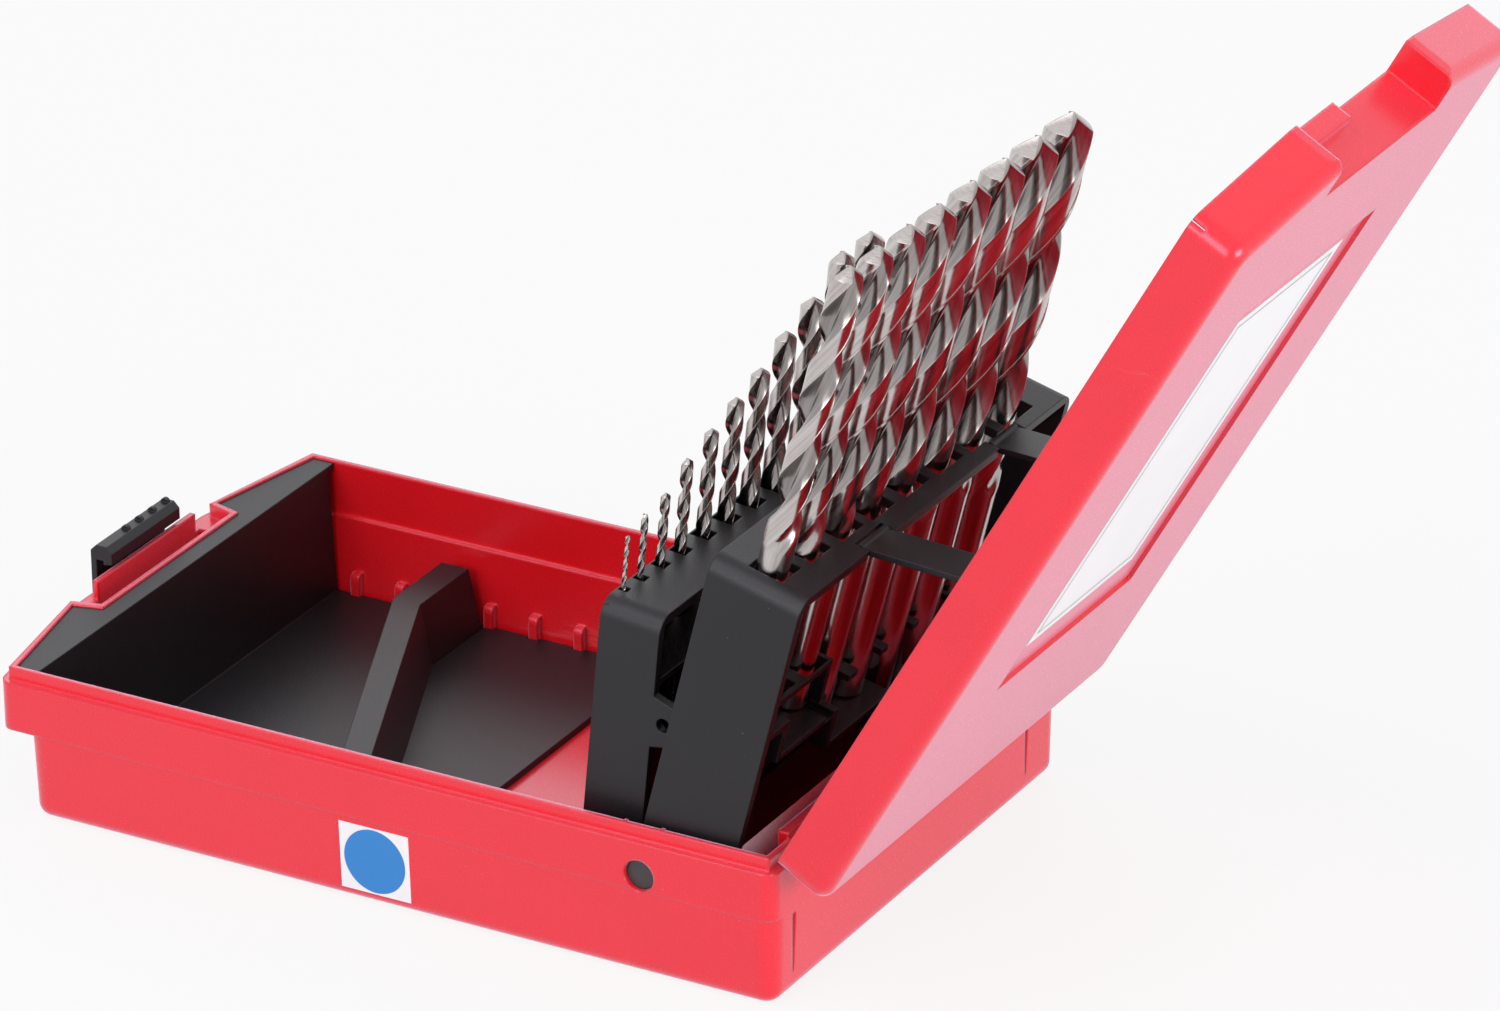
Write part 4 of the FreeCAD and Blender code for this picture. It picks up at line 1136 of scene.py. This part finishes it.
@dataclass
class Studio:
    """Floor, soft lamps, pale surroundings and the camera at the photograph's angle.

    Attributes:
        place: Place of the camera in metres.
        right: Direction of the picture's right.
        above: Direction of the picture's top.
        back: Direction from the object to the camera.
        focal_share: Focal length as a share of the picture's width.
        sensor: Width of the camera's sensor in millimetres.
        floor_half: Half the floor's edge in metres.
        floor_tone: Grey of the floor where the lamps light it.
        floor_glow: Share of plain white that the camera and reflections see on the floor.
        room_level: Strength of the room's even light on the object.
        aim: The point that the lamps face.
        lamps: The soft lamps.
    """

    place: Vector = field(default_factory=lambda: Vector((1.4059, 0.8662, 0.8482)))
    right: Vector = field(default_factory=lambda: Vector((-0.4963, 0.8680, -0.0137)))
    above: Vector = field(default_factory=lambda: Vector((-0.3794, -0.2027, 0.9028)))
    back: Vector = field(default_factory=lambda: Vector((0.7809, 0.4532, 0.4299)))
    focal_share: float = 9303.6 / 1500.0
    sensor: float = 36.0
    floor_half: float = 6.0
    floor_tone: float = 0.62
    floor_glow: float = 0.86
    room_level: float = 0.64
    aim: Vector = field(default_factory=lambda: Vector((0.0, 0.02, 0.06)))
    lamps: tuple[SoftLamp, ...] = (
        SoftLamp("key_lamp", (0.8, -0.35, 1.55), size=1.2, power=8.0),
        SoftLamp("fill_lamp", (1.75, -0.15, 0.9), size=1.3, power=13.0),
        SoftLamp("back_lamp", (-1.3, -0.75, 1.1), size=1.2, power=4.0),
        SoftLamp("low_lamp", (0.35, 1.75, 0.4), size=1.1, power=18.0),
    )

    def camera(self) -> None:
        """Create the camera where the photograph was taken from."""
        lens = bpy.data.cameras.new("studio_camera")
        lens.sensor_fit = "HORIZONTAL"
        lens.sensor_width = self.sensor
        lens.lens = self.sensor * self.focal_share
        lens.clip_end = 100.0
        body = bpy.data.objects.new("studio_camera", lens)
        bpy.context.scene.collection.objects.link(body)
        turn = Matrix((self.right, self.above, self.back)).transposed().to_4x4()
        body.matrix_world = Matrix.Translation(self.place) @ turn
        bpy.context.scene.camera = body

    def floor(self) -> None:
        """Lay a pale floor that keeps the object's soft shadow."""
        mesh = bpy.data.meshes.new("studio_floor")
        half = self.floor_half
        corners = [(-half, -half, 0.0), (half, -half, 0.0), (half, half, 0.0), (-half, half, 0.0)]
        mesh.from_pydata(corners, [], [(0, 1, 2, 3)])
        shader = Shader("studio_floor")
        shader.set(Base_Color=grey(self.floor_tone), Roughness=0.7)
        glow = shader.add("ShaderNodeEmission")
        glow.inputs["Color"].default_value = grey(1.0)
        mix = shader.add("ShaderNodeMixShader")
        share = shader.combine("MULTIPLY", shader.background_rays(), self.floor_glow)
        shader.join(share, mix.inputs[BLEND_SHARE])
        shader.join(shader.surface.outputs[0], mix.inputs[BLEND_FIRST])
        shader.join(glow.outputs[0], mix.inputs[BLEND_SECOND])
        shader.join(mix.outputs[0], shader.tree.nodes["Material Output"].inputs["Surface"])
        floor = new_piece("studio_floor", mesh, shader.material)

    def surroundings(self) -> None:
        """Fill the room with even white light."""
        world = bpy.data.worlds.new("studio_world")
        world.use_nodes = True
        room = Bench(world.node_tree)
        sky = room.tree.nodes["Background"]
        sky.inputs["Color"].default_value = grey(1.0)
        room.join(room.span(room.background_rays(), self.room_level, 1.0), sky.inputs["Strength"])
        bpy.context.scene.world = world

    def build(self) -> None:
        """Set up the camera, floor, surroundings and lamps."""
        bpy.context.scene.view_settings.view_transform = "Standard"
        self.camera()
        self.floor()
        self.surroundings()
        for lamp in self.lamps:
            lamp.hang(self.aim)


@dataclass
class CaseFinish:
    """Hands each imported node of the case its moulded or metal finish.

    Attributes:
        finishes: The finishes.
        nodes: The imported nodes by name.
        table: The nodes of each kind of surface, apart from the drills.
    """

    finishes: Finishes
    nodes: dict[str, bpy.types.Object]
    table: dict[Surface, tuple[str, ...]] = field(default_factory=lambda: {
        Surface.RED: ("base_shell", "lid_shell"),
        Surface.BLACK: ("front_insert", "tip_rest", "latch_clip", "rear_rack", "front_rack",
                        "lift_strap_near", "lift_strap_far"),
        Surface.STUD: ("rack_pivot_near", "rack_pivot_far"),
        Surface.WIRE: ("hinge_rod", "latch_pin", "strap_pin_near", "strap_pin_far"),
        Surface.FILM: ("lid_label", "side_label"),
    })

    def dress(self, node: str, surface: Surface) -> None:
        """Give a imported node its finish."""
        for slot in self.nodes[node].material_slots:
            slot.material = self.finishes.made[surface]

    def build(self) -> None:
        """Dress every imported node."""
        for surface, nodes in self.table.items():
            for node in nodes:
                self.dress(node, surface)
                LOG.info("dressed %s", node)
        for node in self.nodes:
            if node.startswith("drill_"):
                self.dress(node, Surface.GROUND)


def corners(bounds: tuple[Vector, Vector]) -> list[list[float]]:
    """Return a box as plain lists of numbers."""
    return [[float(value) for value in corner] for corner in bounds]


def main() -> None:
    """Build the whole scene in order."""
    logging.basicConfig(level=logging.INFO, format="%(name)s: %(message)s")
    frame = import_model()
    Studio().build()
    finishes = Finishes()
    CaseFinish(finishes, frame["nodes"]).build()
    DrillSet().build(finishes.made[Surface.GROUND])
    labels = LabelFilms()
    labels.disc(finishes.made[Surface.DISC])
    labels.border(frame["nodes"]["lid_label"], finishes.made[Surface.RULE])


if __name__ == "__main__":
    main()
